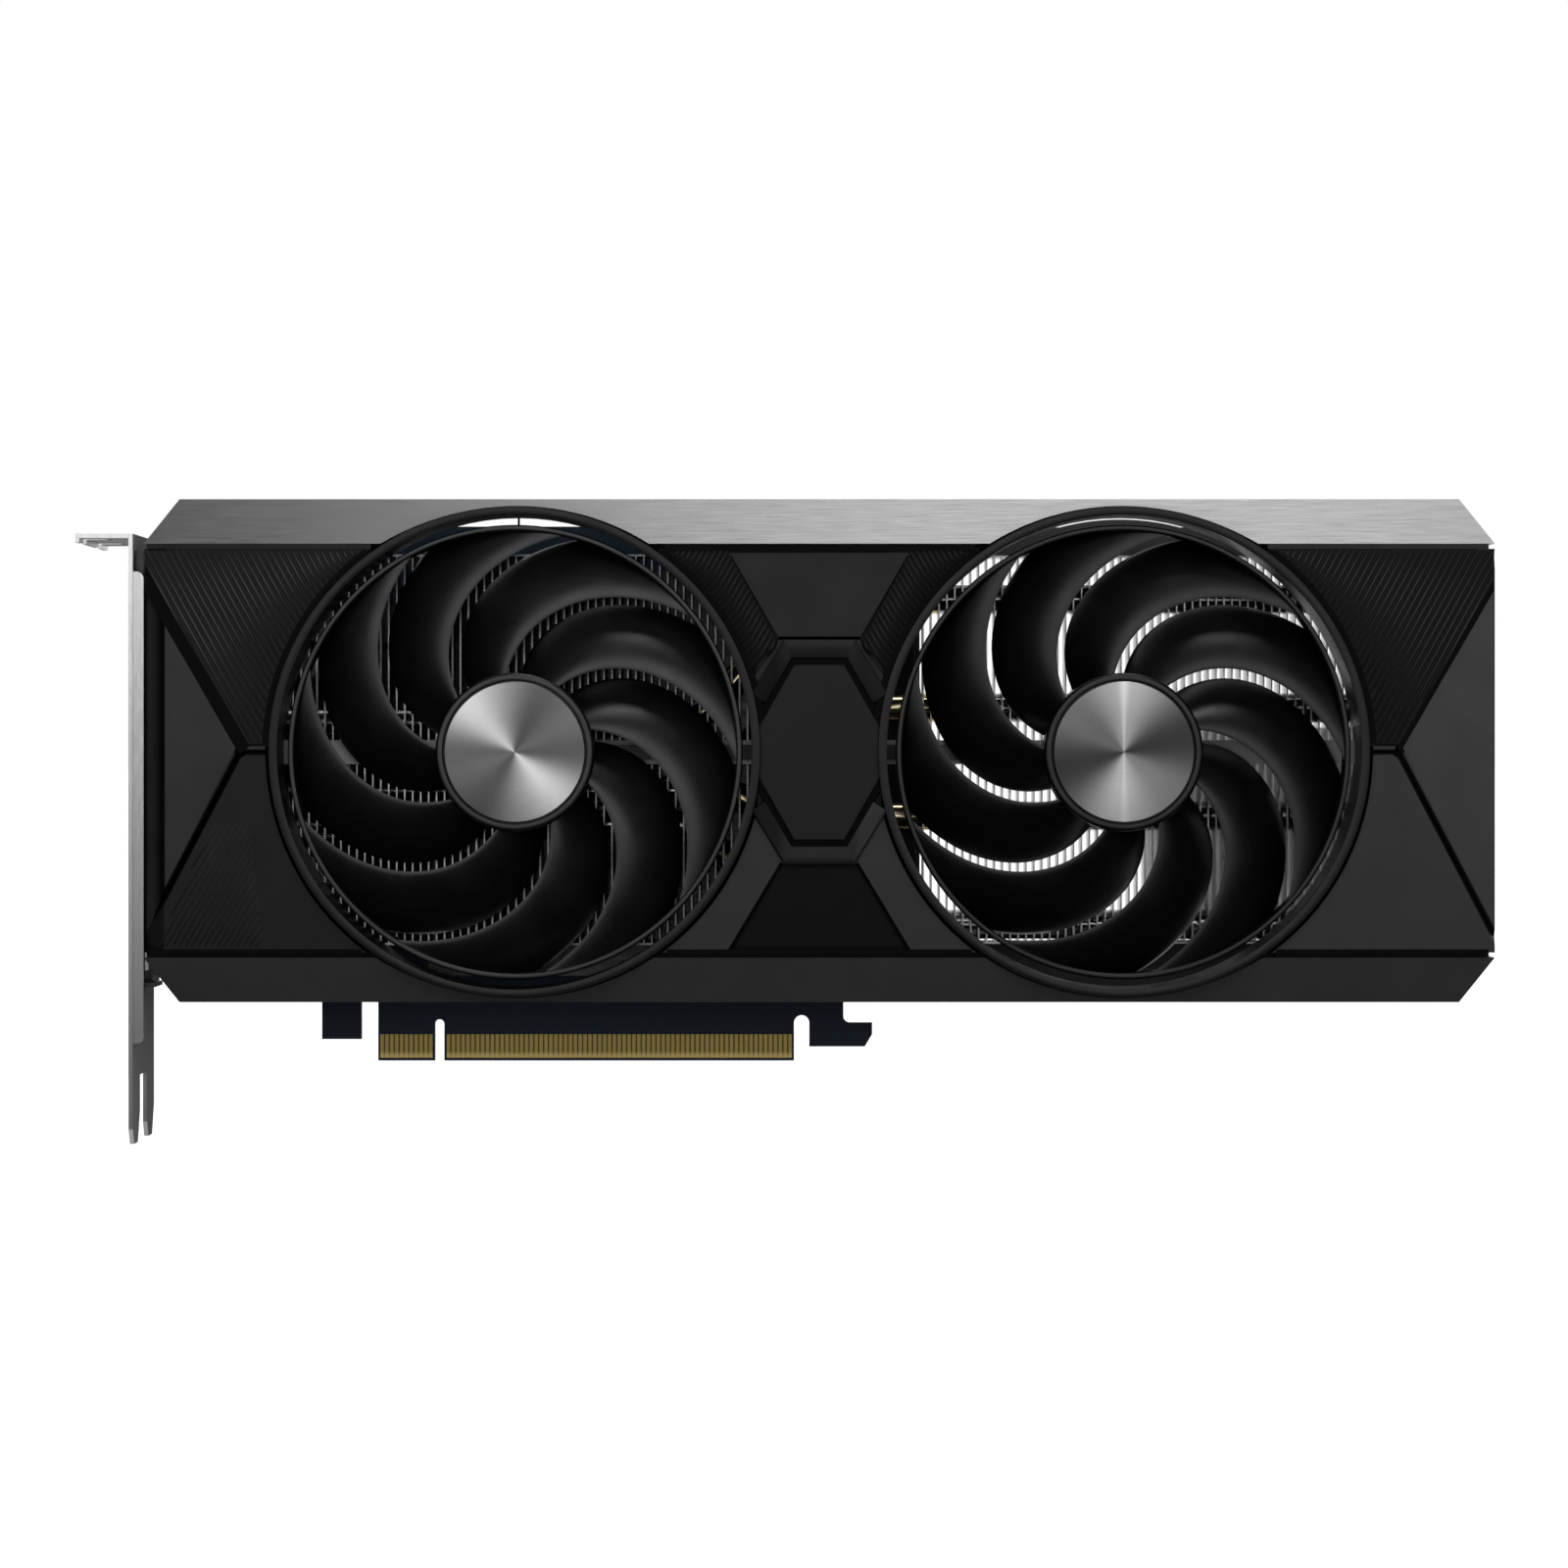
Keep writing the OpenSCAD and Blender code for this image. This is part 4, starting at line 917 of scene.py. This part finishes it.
def rib_fields():
    strip = [(-13.6, 15.0), STRIP_FOOT, STRIP_KNEE, STRIP_HEAD, (-40.0, SKIN_TOP)]
    depths = (FACE_D, FACE_D + RIB_RISE)
    made = []
    for side, sign in SIDES:
        field = [(MID_X + sign * x, y) for x, y in end_field(side, FACE_EDGE - RIB_MARGIN)]
        beside = [(MID_X - sign * x, y) for x, y in strip]
        order = -sign
        made += ribs(field[::order], RIB_DEG * sign, RIB_PITCH, *depths)
        made += ribs(beside[::order], -STRIP_DEG * sign, STRIP_PITCH, *depths)
    on_card("rib_fields", made, RIB)


def faint_ribs():
    foot = SHROUD_LIFT - FACE_Y + 1.2
    faint = [(-TRI_X + 1.8, foot), (-TRI_X + 23, foot), (-APEX_X + 2, -14), (-APEX_X - 5.6, -14)]
    placed = [(x + MID_X, y) for x, y in faint]
    made = ribs(placed, STRIP_DEG, FAINT_PITCH, FACE_D - FAINT_SINK, FACE_D + FAINT_RISE)
    on_card("faint_ribs", made, SHROUD)


rib_fields()
faint_ribs()


# Frame round the badge: a chamfered band that tilts a little and rolls over towards the badge's slit.
# The roll has shares inwards and drops.
BADGE_W, BADGE_H, BADGE_FLAT = 25, 34.4, 4.9
FRAME_W = 5
FRAME_RISE = 0.4
FRAME_SKIN = 0.03
FRAME_TILT = 0.07
FRAME_ROLL = ((0.45, 0.0), (0.75, 0.07), (1.0, 0.2))
BADGE_SLIT = 1.5
KNEE_SHARE = 0.11
RING_OVERLAP = 0.4


def octagon(w, h, flat):
    knee = KNEE_SHARE * h
    right = [(flat, h / 2), (w / 2, knee), (w / 2, -knee), (flat, -h / 2)]
    return [(-flat, h / 2)] + right + [(-flat, -h / 2), (-w / 2, -knee), (-w / 2, knee)]


def clear_of_rings(x, y):
    return all(hypot(x - fan_x, y) > RING_R - RING_OVERLAP for fan_x in FAN_X.values())


CHAINS = (((7, 0), (0, 1), (1, 2)), ((3, 4), (4, 5), (5, 6)))


def octagon_band(outer, inner, profile, strips=90):
    """Two closed bars between two octagons, above and below, cut off where the fan rings pass. A profile
    point has a share inwards and a depth."""
    made = []
    count = len(profile)
    for chain in CHAINS:
        points = []
        for side, (a, b) in enumerate(chain):
            for s in range(1 if side else 0, strips + 1):
                row = []
                for t, depth in profile:
                    ends = [[o + (n - o) * t for o, n in zip(outer[k], inner[k])] for k in (a, b)]
                    x, y = [p + (q - p) * s / strips for p, q in zip(*ends)]
                    row.append((MID_X + x, y, depth))
                if all(clear_of_rings(x, y) for x, y, _ in row):
                    points += row
        last = len(points) - count
        faces = [tuple(range(count - 1, -1, -1)), tuple(range(last, last + count))]
        for k in range(0, last, count):
            faces += walls(k, k + count, count)
        made.append((points, faces))
    return join(*made)


def badge_frame():
    outer = octagon(BADGE_W + 2 * FRAME_W, BADGE_H + 2 * FRAME_W, BADGE_FLAT + 2)
    inner = octagon(BADGE_W + 2 * BADGE_SLIT, BADGE_H + 2 * BADGE_SLIT, BADGE_FLAT + 0.6)
    core = octagon(BADGE_W - 0.4, BADGE_H - 0.4, BADGE_FLAT)
    base = FACE_D + FRAME_RISE
    top = base + FRAME_SKIN
    under = FACE_D - RELIEF
    bed = under + FRAME_SKIN
    roll = [(t, top - drop) for t, drop in FRAME_ROLL]
    profile = [(0.0, base), (0.1, top + FRAME_TILT)] + roll + [(1.0, bed)]
    band = octagon_band(outer, inner, profile)
    piece("badge_frame", *band, "card", "shroud_plastic", FRAME, sharp_deg=20)
    # The slit round the badge is lined in black: painted shade in the recess.
    slit = octagon_band(inner, core, [(0.0, bed), (1.0, bed), (1.0, under), (0.0, under)])
    on_card("badge_slit", [slit], SHADE_BLACK)


badge_frame()


# Small closed forms.
def block(low, high):
    """Points and faces of a box between two corners."""
    points = [(x, y, z) for z in (low[2], high[2]) for y in (low[1], high[1]) for x in (low[0], high[0])]
    faces = [(0, 2, 3, 1), (4, 5, 7, 6), (0, 1, 5, 4), (2, 6, 7, 3), (0, 4, 6, 2), (1, 3, 7, 5)]
    return points, faces


def front_box(name):
    """Corners of a node's box in the front frame, in millimetres."""
    low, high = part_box(name)
    near = (low.x / MM, (low.z - AXIS_Z) / MM, -high.y / MM)
    return near, (high.x / MM, (high.z - AXIS_Z) / MM, -low.y / MM)


# Screws with domed heads and cross recesses, one set for each node of screws. Shares are of the head's or the
# shank's radius, or of the head's height.
SCREW_SEGMENTS = 48
TIP_SHARE, TIP_TAPER = 0.6, 0.6
CROWN_SHARE = 0.8
CROSS_REACH, CROSS_HALF = 0.58, 0.15
RECESS_DRAW, RECESS_FLOOR = 0.8, 0.35
PAST_TURN = 7.0


def cross_outline(reach, half):
    arm = [(reach, -half), (reach, half), (half, half)]
    points = []
    for _ in range(4):
        points += arm
        arm = [(-y, x) for x, y in arm]
    return points


def web(outer, inner, at_outer, at_inner):
    """Triangles between two loops that run anticlockwise round one centre."""
    start = atan2(inner[0][1], inner[0][0])

    def turn(point):
        return (atan2(point[1], point[0]) - start + 1e-6) % (2 * pi)

    first = min(range(len(outer)), key=lambda k: turn(outer[k]))
    order = [(first + k) % len(outer) for k in range(len(outer))]
    a, b, faces = 0, 0, []
    while a < len(order) or b < len(inner):
        o, i = order[a % len(order)], b % len(inner)
        next_o = turn(outer[order[a + 1]]) if a + 1 < len(order) else PAST_TURN + a - len(order)
        next_i = turn(inner[b + 1]) if b + 1 < len(inner) else PAST_TURN + b - len(inner)
        if a < len(order) and (next_o <= next_i or b >= len(inner)):
            faces.append((at_outer + o, at_outer + order[(a + 1) % len(order)], at_inner + i))
            a += 1
        else:
            faces.append((at_outer + o, at_inner + (b + 1) % len(inner), at_inner + i))
            b += 1
    return faces


def screw(x, y, seat, way, tip, head_r, head_h, shank_r):
    """A screw along the depth axis. Its head rises from seat in the direction of way, its tip lies behind."""
    crown_r = CROWN_SHARE * head_r
    rings = [(TIP_SHARE * shank_r, -tip), (shank_r, TIP_TAPER - tip), (shank_r, 0), (head_r, 0),
             (head_r, 0.5 * head_h), (0.94 * head_r, 0.8 * head_h), (crown_r, head_h)]
    count = SCREW_SEGMENTS
    turns = [2 * pi * k / count for k in range(count)]
    circle = [(cos(t), sin(t)) for t in turns]
    points = [(r * c, r * s, h) for r, h in rings for c, s in circle]
    faces = [tuple(range(count - 1, -1, -1))]
    for k in range(len(rings) - 1):
        faces += walls(k * count, (k + 1) * count, count)
    cross = cross_outline(CROSS_REACH * head_r, CROSS_HALF * head_r)
    edge = len(cross)
    rim = len(points)
    points += [(a, b, head_h) for a, b in cross]
    points += [(RECESS_DRAW * a, RECESS_DRAW * b, RECESS_FLOOR * head_h) for a, b in cross]
    faces += web([(crown_r * c, crown_r * s) for c, s in circle], cross, rim - count, rim)
    faces += walls(rim, rim + edge, edge)
    faces.append(tuple(range(rim + edge, rim + 2 * edge)))
    if way < 0:
        faces = [f[::-1] for f in faces]
    return [(x + a, y + b, seat + way * h) for a, b, h in points], faces


def screw_set(node, head_r, head_h, shank_r, way, slot, material):
    low, high = front_box(node)
    seat = high[2] - head_h if way > 0 else low[2] + head_h
    tip = seat - low[2] if way > 0 else high[2] - seat
    columns = sorted({round(low[0] + head_r, 3), round(high[0] - head_r, 3)})
    rows = sorted({round(low[1] + head_r, 3), round(high[1] - head_r, 3)})
    made = [screw(x, y, seat, way, tip, head_r, head_h, shank_r) for x in columns for y in rows]
    part = on_card(node.replace("screws", "screw_set"), made, material, slot)
    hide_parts(node)


# Tongues inside the ports, each with a thicker root, and pins inside the power socket. A kind of port has its
# tongue's width and each port's drop below the bracket's top.
PORTS = {"displayport_connectors": (12.4, (21.2, 39, 64.2)), "hdmi_connector": (11.6, (81.2,))}
TONGUE_SPAN, TONGUE_T = (1.4, 11), 0.9
ROOT_SPAN, ROOT_T, ROOT_EXTRA = (9, 11.5), 2.8, 1.2
PIN_PITCH, PIN_ROW, PIN_IN = 4.2, 4.6, 3
PIN_DROPS = (6.9, 1.6)
PIN_HALF = 0.55
PIN_TIP, PIN_TAPER = 0.8, 0.45


def slab(reach, y, z, width, thick):
    """Block that lies between two distances from the bracket's plate."""
    x0, x1 = [MID_X + FOLD_X + d for d in reach]
    return block((x0, y - width / 2, z - thick / 2), (x1, y + width / 2, z + thick / 2))


def port_tongues():
    top = front_box("bracket")[1][1]
    parts = []
    for node, (width, drops) in PORTS.items():
        low, high = front_box(node)
        middle = (low[2] + high[2]) / 2
        for drop in drops:
            parts.append(slab(TONGUE_SPAN, top - drop, middle, width, TONGUE_T))
            parts.append(slab(ROOT_SPAN, top - drop, middle, width + ROOT_EXTRA, ROOT_T))
    on_card("port_tongues", parts, SOCKET, "socket_plastic")


def pin(x, z, low, high):
    """Square pin with a tapered tip."""
    rings = ((low, PIN_HALF), (high - PIN_TIP, PIN_HALF), (high, PIN_TAPER * PIN_HALF))
    points = [(x + a * w, y, z + b * w) for y, w in rings for a, b in ((-1, -1), (-1, 1), (1, 1), (1, -1))]
    return points, [(3, 2, 1, 0), (8, 9, 10, 11)] + walls(0, 4, 4) + walls(4, 8, 4)


def socket_pins():
    low, high = front_box("power_connector")
    middle = (low[0] + high[0]) / 2
    foot, tip = [high[1] - drop for drop in PIN_DROPS]
    parts = [pin(middle + i * PIN_PITCH, low[2] + PIN_IN + j * PIN_ROW, foot, tip)
             for i in (-1.5, -0.5, 0.5, 1.5) for j in (0, 1)]
    on_card("socket_pins", parts, SPRING, "contact_gold")


# Collars behind the rails' skins, which close the view through the slits round the rings.
COLLAR_Z = (25.0, 27.5)
COLLAR_IN, COLLAR_W = 0.2, 0.9


def ring_collars():
    low, high = COLLAR_Z
    inner, outer = RING_R - COLLAR_IN, RING_R + COLLAR_W
    profile = [(inner, low), (outer, low), (outer, high), (inner, high)]
    on_card("ring_collars", [lathe(profile, x, 200) for x in FAN_X.values()], FRAME)


# Painted shadow: a black block in the gap beside the bracket's front lip.
LIP_GAP = 0.1
LIP_TOP, LIP_LOW = 7.5, 100.8
GAP_SHADOW_INSET = 2
GAP_SHADOW_X = (-0.2, 0.09)
GAP_SHADOW_DROPS = (1.4, 0.1)


def lip_gap_shadow():
    high = front_box("bracket")[1]
    edge = X0 - LIP_GAP
    foot = (edge + GAP_SHADOW_X[0], high[1] - LIP_LOW + GAP_SHADOW_INSET, high[2] - GAP_SHADOW_DROPS[0])
    head = (edge + GAP_SHADOW_X[1], high[1] - LIP_TOP - GAP_SHADOW_INSET, high[2] - GAP_SHADOW_DROPS[1])
    on_card("lip_gap_shadow", [block(foot, head)], SHADE_BLACK)


# Skins on the face, each with its own lift so that none shares a plane with another.
PANEL_LIFT, BAND_LIFT, BED_LIFT, SHADOW_LIFT = 0.05, 0.02, 0.035, 0.045
LAP = 0.1
STRIP_LOW = 16.5
SHADOW_LOW = 2.0


def skin(outline, z, thick=0.02):
    """Thin plate with its front at z."""
    count = len(outline)
    area = sum(a[0] * b[1] - b[0] * a[1] for a, b in zip(outline, outline[1:] + outline[:1]))
    outline = outline if area > 0 else outline[::-1]
    points = [(x, y, d) for d in (z - thick, z) for x, y in outline]
    faces = [tuple(range(count - 1, -1, -1)), tuple(range(count, 2 * count))]
    return points, faces + walls(0, count, count)


def arc_points(radius, low, high, steps=40):
    """Points of a ring's outer side between two heights, measured out from the card's middle."""
    turns = [asin(low / radius), asin(high / radius)]
    angles = [turns[0] + (turns[1] - turns[0]) * k / steps for k in range(steps + 1)]
    return [(FAN_PITCH / 2 + radius * cos(a), radius * sin(a)) for a in angles]


def end_skins():
    panels, bands, beds = [], [], []
    bed_r = RING_R + RING_BAND - LAP
    for side, sign in SIDES:
        edge, foot = PANEL_EDGE[side], LINE_FOOT - BAND_W[side]
        fall = (edge - APEX_X - 0.9) / LOW_SLOPE
        panel = [(edge, -fall), (edge, line_height(edge, LINE_FOOT)), (LINE_FOOT + 0.5, 0.8)]
        band = [(FACE_EDGE, line_height(FACE_EDGE, LINE_FOOT)), (FACE_EDGE, line_height(FACE_EDGE, foot)),
                (foot + 0.7, 1.2), (LINE_FOOT - 0.3, -0.4)]
        field = end_field(side, FACE_EDGE)
        bed = [field[0]] + arc_points(bed_r, FIELD_LOW, SKIN_TOP) + field[3:]
        curve = [(FAN_PITCH - x, y) for x, y in arc_points(bed_r, STRIP_LOW, SKIN_TOP)]
        strip = curve + [(-x, y) for x, y in (STRIP_HEAD, STRIP_KNEE, STRIP_FOOT)]
        skins = ((panels, panel, PANEL_LIFT), (bands, band, BAND_LIFT),
                 (beds, bed, BED_LIFT), (beds, strip, BED_LIFT))
        for parts, outline, lift in skins:
            placed = [(MID_X + sign * x, y) for x, y in outline]
            parts.append(skin(placed, FACE_D + lift))
    on_card("end_panels", panels, PANEL)
    on_card("end_bands", bands, SHADE_BLACK)
    on_card("rib_beds", beds, RIB_BED)


def ring_shadows():
    """Black skins of painted shadow between the ribs and the upper sides of the rings."""
    inner = arc_points(RING_R + LAP, SHADOW_LOW, SKIN_TOP)
    outer = arc_points(RING_R + RING_BAND, SHADOW_LOW, SKIN_TOP)
    parts = []
    for fan_x in FAN_X.values():
        for sign in (-1, 1):
            outline = [(fan_x + sign * (x - FAN_PITCH / 2), y) for x, y in outer + inner[::-1]]
            parts.append(skin(outline, FACE_D + SHADOW_LIFT))
    on_card("ring_shadows", parts, SHADE_BLACK)


# Painted shadow in the seams along the rails: black below the face, and above it dull grey with the panels'
# painted light at the ends and black between the fans.
ENDS, BETWEEN = (0, 2), (1,)
UPPER_LINE = FACE_Y + SHROUD_LIFT
LOWER_LINE = SHROUD_LIFT - FACE_Y
SEAM_W = SEAM - 0.05
SEAM_T = 0.5
SEAM_INSETS = (0.6, 1.2)
SEAM_RING_GAP = 0.7


def seam(name, low, high, front_z, material, places):
    reach = sqrt((RING_R + SEAM_RING_GAP) ** 2 - min(abs(low), abs(high)) ** 2)
    stops = [X0 + SEAM_INSETS[0]]
    for fan_x in FAN_X.values():
        stops += [fan_x - reach, fan_x + reach]
    stops.append(X1 - SEAM_INSETS[1])
    parts = [block((stops[2 * k], low, front_z - SEAM_T), (stops[2 * k + 1], high, front_z)) for k in places]
    on_card(name, parts, material)


# Bare laminate between the gold contacts.
KEY_W = 1.9
KEY_LAND = 0.5
FILM = 0.03


def contact_bed():
    low, high = front_box("edge_contacts")
    board_low, board_high = front_box("pcb")
    key = KEY_W / 2 + KEY_LAND
    parts = []
    for x0, x1 in ((low[0], -key), (key, high[0])):
        for z in (board_high[2], board_low[2] - FILM):
            parts.append(block((x0, low[1], z), (x1, high[1], z + FILM)))
    on_card("contact_bed", parts, LAMINATE, "board_mask")


# Crest of the backplate over the right fan, whose arc leaves a thin bright slit under the ring.
CREST_SLIT = 0.3
CREST_LAP = 0.2
PLATE_T = 1.2
RING_BACK = 21.5
RING_T = 1.6


def backplate_crest(steps=24):
    low, high = front_box("backplate")
    eye_x, eye_d = CAMERA_AT[0] / MM, -CAMERA_AT[1] / MM
    grow = (eye_d - low[2]) / (eye_d - RING_BACK)
    centre = eye_x + (FAN_X["right"] - eye_x) * grow
    radius = (RING_R - RING_T) * grow - CREST_SLIT
    half = acos((high[1] - CREST_LAP) / radius)
    turns = [half * (2 * k / steps - 1) for k in range(steps + 1)]
    edge = [(centre + radius * sin(t), radius * cos(t)) for t in turns]
    on_card("backplate_crest", [skin(edge, low[2] + PLATE_T, PLATE_T)], COAT, "plate_coat")


# Sheet behind the fins of the lower right quarter, where the photograph shows even grey and no opening: a
# painted reflection of the fins' sides.
FIN_SHEET_X, FIN_SHEET_TOP = 6, 5
FIN_SHEET_GAP, FIN_SHEET_T = 0.5, 0.1


def fin_sheet():
    low, high = front_box("open_fin_stack")
    z = low[2] - FIN_SHEET_GAP
    foot = (FAN_X["right"] + FIN_SHEET_X, low[1] + FIN_SHEET_GAP, z - FIN_SHEET_T)
    on_card("fin_sheet", [block(foot, (high[0], FIN_SHEET_TOP, z))], SHEET, "fin_metal")


# Flatter crowns on the rings' rounded lips.
RING_PROUD = 1
CROWN_DROP = 0.12
CROWN_SKIN = 0.03
CROWN_H = 1.2


def ring_crowns(steps=12):
    half = RING_T / 2 + CROWN_SKIN
    middle = RING_R - RING_T / 2
    top = FACE_D + RING_PROUD
    turns = [1 - 2 * k / steps for k in range(steps + 1)]
    crown = [(middle + half * t, top - CROWN_DROP * t * t) for t in turns]
    profile = [(middle + half, top - CROWN_H)] + crown + [(middle - half, top - CROWN_H)]
    on_card("ring_crowns", [lathe(profile, x, 240) for x in FAN_X.values()], RING)


# All small forms. A screw set is given its head's radius and height and its shank's radius.
screw_set("cover_screws", 2.2, 1.2, 1.1, -1, "black_screw", BLACK_STEEL)
screw_set("spring_screws", 3.2, 1.8, 1.3, -1, "spring_steel", SPRING)
screw_set("bracket_screws", 2.2, 1.4, 1.1, 1, "black_screw", SPRING)
port_tongues()
socket_pins()
ring_collars()
lip_gap_shadow()
end_skins()
ring_shadows()
seam("upper_seam", UPPER_LINE - 0.02, UPPER_LINE + SEAM_W, FACE_D - 0.1, SEAM_GREY, ENDS)
seam("middle_seam", UPPER_LINE - 0.75, UPPER_LINE + SEAM_W, FACE_D + 0.09, SHADE_BLACK, BETWEEN)
seam("lower_seam", LOWER_LINE - SEAM_W, LOWER_LINE + 0.65, FACE_D + 0.03, SHADE_BLACK, ENDS + BETWEEN)
contact_bed()
backplate_crest()
fin_sheet()
ring_crowns()

# Floor, studio walls and lamps.
FLOOR_GAP = 0.0002
FLOOR_HALF = 20
FLOOR_GLOW = 0.9
SKY_LIGHT = 0.35


def white_when_seen(n):
    """1 for rays that show a background: from the camera, off gloss or through glass."""
    path = n.add("LightPath")
    seen = n.math("MAXIMUM", path.outputs["Is Camera Ray"], path.outputs["Is Glossy Ray"])
    return n.math("MAXIMUM", seen, path.outputs["Is Transmission Ray"])


def make_world():
    world = bpy.data.worlds.new("studio")
    n = empty_tree(world)
    light = n.add("Background", {"Color": 1.0, "Strength": SKY_LIGHT})
    white = n.add("Background", {"Color": 1.0, "Strength": 1.0})
    both = n.add("MixShader", {0: white_when_seen(n), 1: light.outputs[0], 2: white.outputs[0]})
    n.add("OutputWorld", {0: both.outputs[0]})
    bpy.context.scene.world = world


def stage_mesh(name, points, faces, material):
    mesh = bpy.data.meshes.new(name)
    mesh.from_pydata(points, [], faces)
    mesh.materials.append(material)
    made = add_object(name, mesh)
    return made


def make_floor():
    material = bpy.data.materials.new("floor_white")
    n = empty_tree(material)
    mottle = n.noise(0.004, 2)
    diffuse = n.add("BsdfDiffuse", {"Color": n.mix(mottle, 0.50, 0.54)})
    glow = n.add("Emission", {"Color": 1.0, "Strength": FLOOR_GLOW})
    seen = n.add("MixShader", {0: white_when_seen(n), 2: glow.outputs[0]})
    both = n.add("AddShader", {0: diffuse.outputs[0], 1: seen.outputs[0]})
    n.add("OutputMaterial", {0: both.outputs[0]})
    z = cad_box[0].z - FLOOR_GAP
    corners = [(FLOOR_HALF * x, FLOOR_HALF * y, z) for x, y in ((-1, -1), (1, -1), (1, 1), (-1, 1))]
    stage_mesh("floor", corners, [(0, 1, 2, 3)], material)


# Depth of the dark strip of floor before the card.
FLAG_D = 1.2


def make_walls():
    """Dark tent over the front half of the studio, with a dark strip of floor. Only gloss shows them."""
    material = plastic("wall_dark", 0.010, 0.014, 0.9, 0.0)
    radius, half_deg, low_deg, steps, rows = 3.0, 100, -20, 32, 12
    points = []
    for k in range(steps + 1):
        turn = radians(-90 - half_deg + 2 * half_deg * k / steps)
        for i in range(rows + 1):
            rise = radians(low_deg + (90 - low_deg) * i / rows)
            points.append((CAMERA_AT[0] + radius * cos(rise) * cos(turn),
                           radius * cos(rise) * sin(turn), radius * sin(rise)))
    faces = []
    for k in range(steps):
        for i in range(rows):
            a = k * (rows + 1) + i
            faces.append((a, a + rows + 1, a + rows + 2, a + 1))
    base = len(points)
    z = cad_box[0].z - FLOOR_GAP / 2
    points += [(-radius, -FLAG_D, z), (radius, -FLAG_D, z), (radius, 0, z), (-radius, 0, z)]
    faces.append((base, base + 1, base + 2, base + 3))
    wall = stage_mesh("studio_tent", points, faces, material)
    wall.visible_camera = wall.visible_diffuse = wall.visible_shadow = False


def lamp(name, at, aim, size, watts):
    data = bpy.data.lights.new(name, "AREA")
    data.shape = "RECTANGLE"
    data.size, data.size_y = size
    data.energy = watts
    made = add_object(name, data)
    made.location = at
    made.rotation_euler = (Vector(aim) - Vector(at)).to_track_quat("-Z", "Y").to_euler()
    made.visible_camera = False


make_world()
make_floor()
make_walls()
lamp("overhead", (0.22, -0.2, 1.2), (0.22, 0, AXIS_Z), (0.5, 0.7), 5.4)
lamp("front_fill", (0.1, -2.4, 0.9), (0.1, 0, 0.9), (3.6, 3.0), 58)
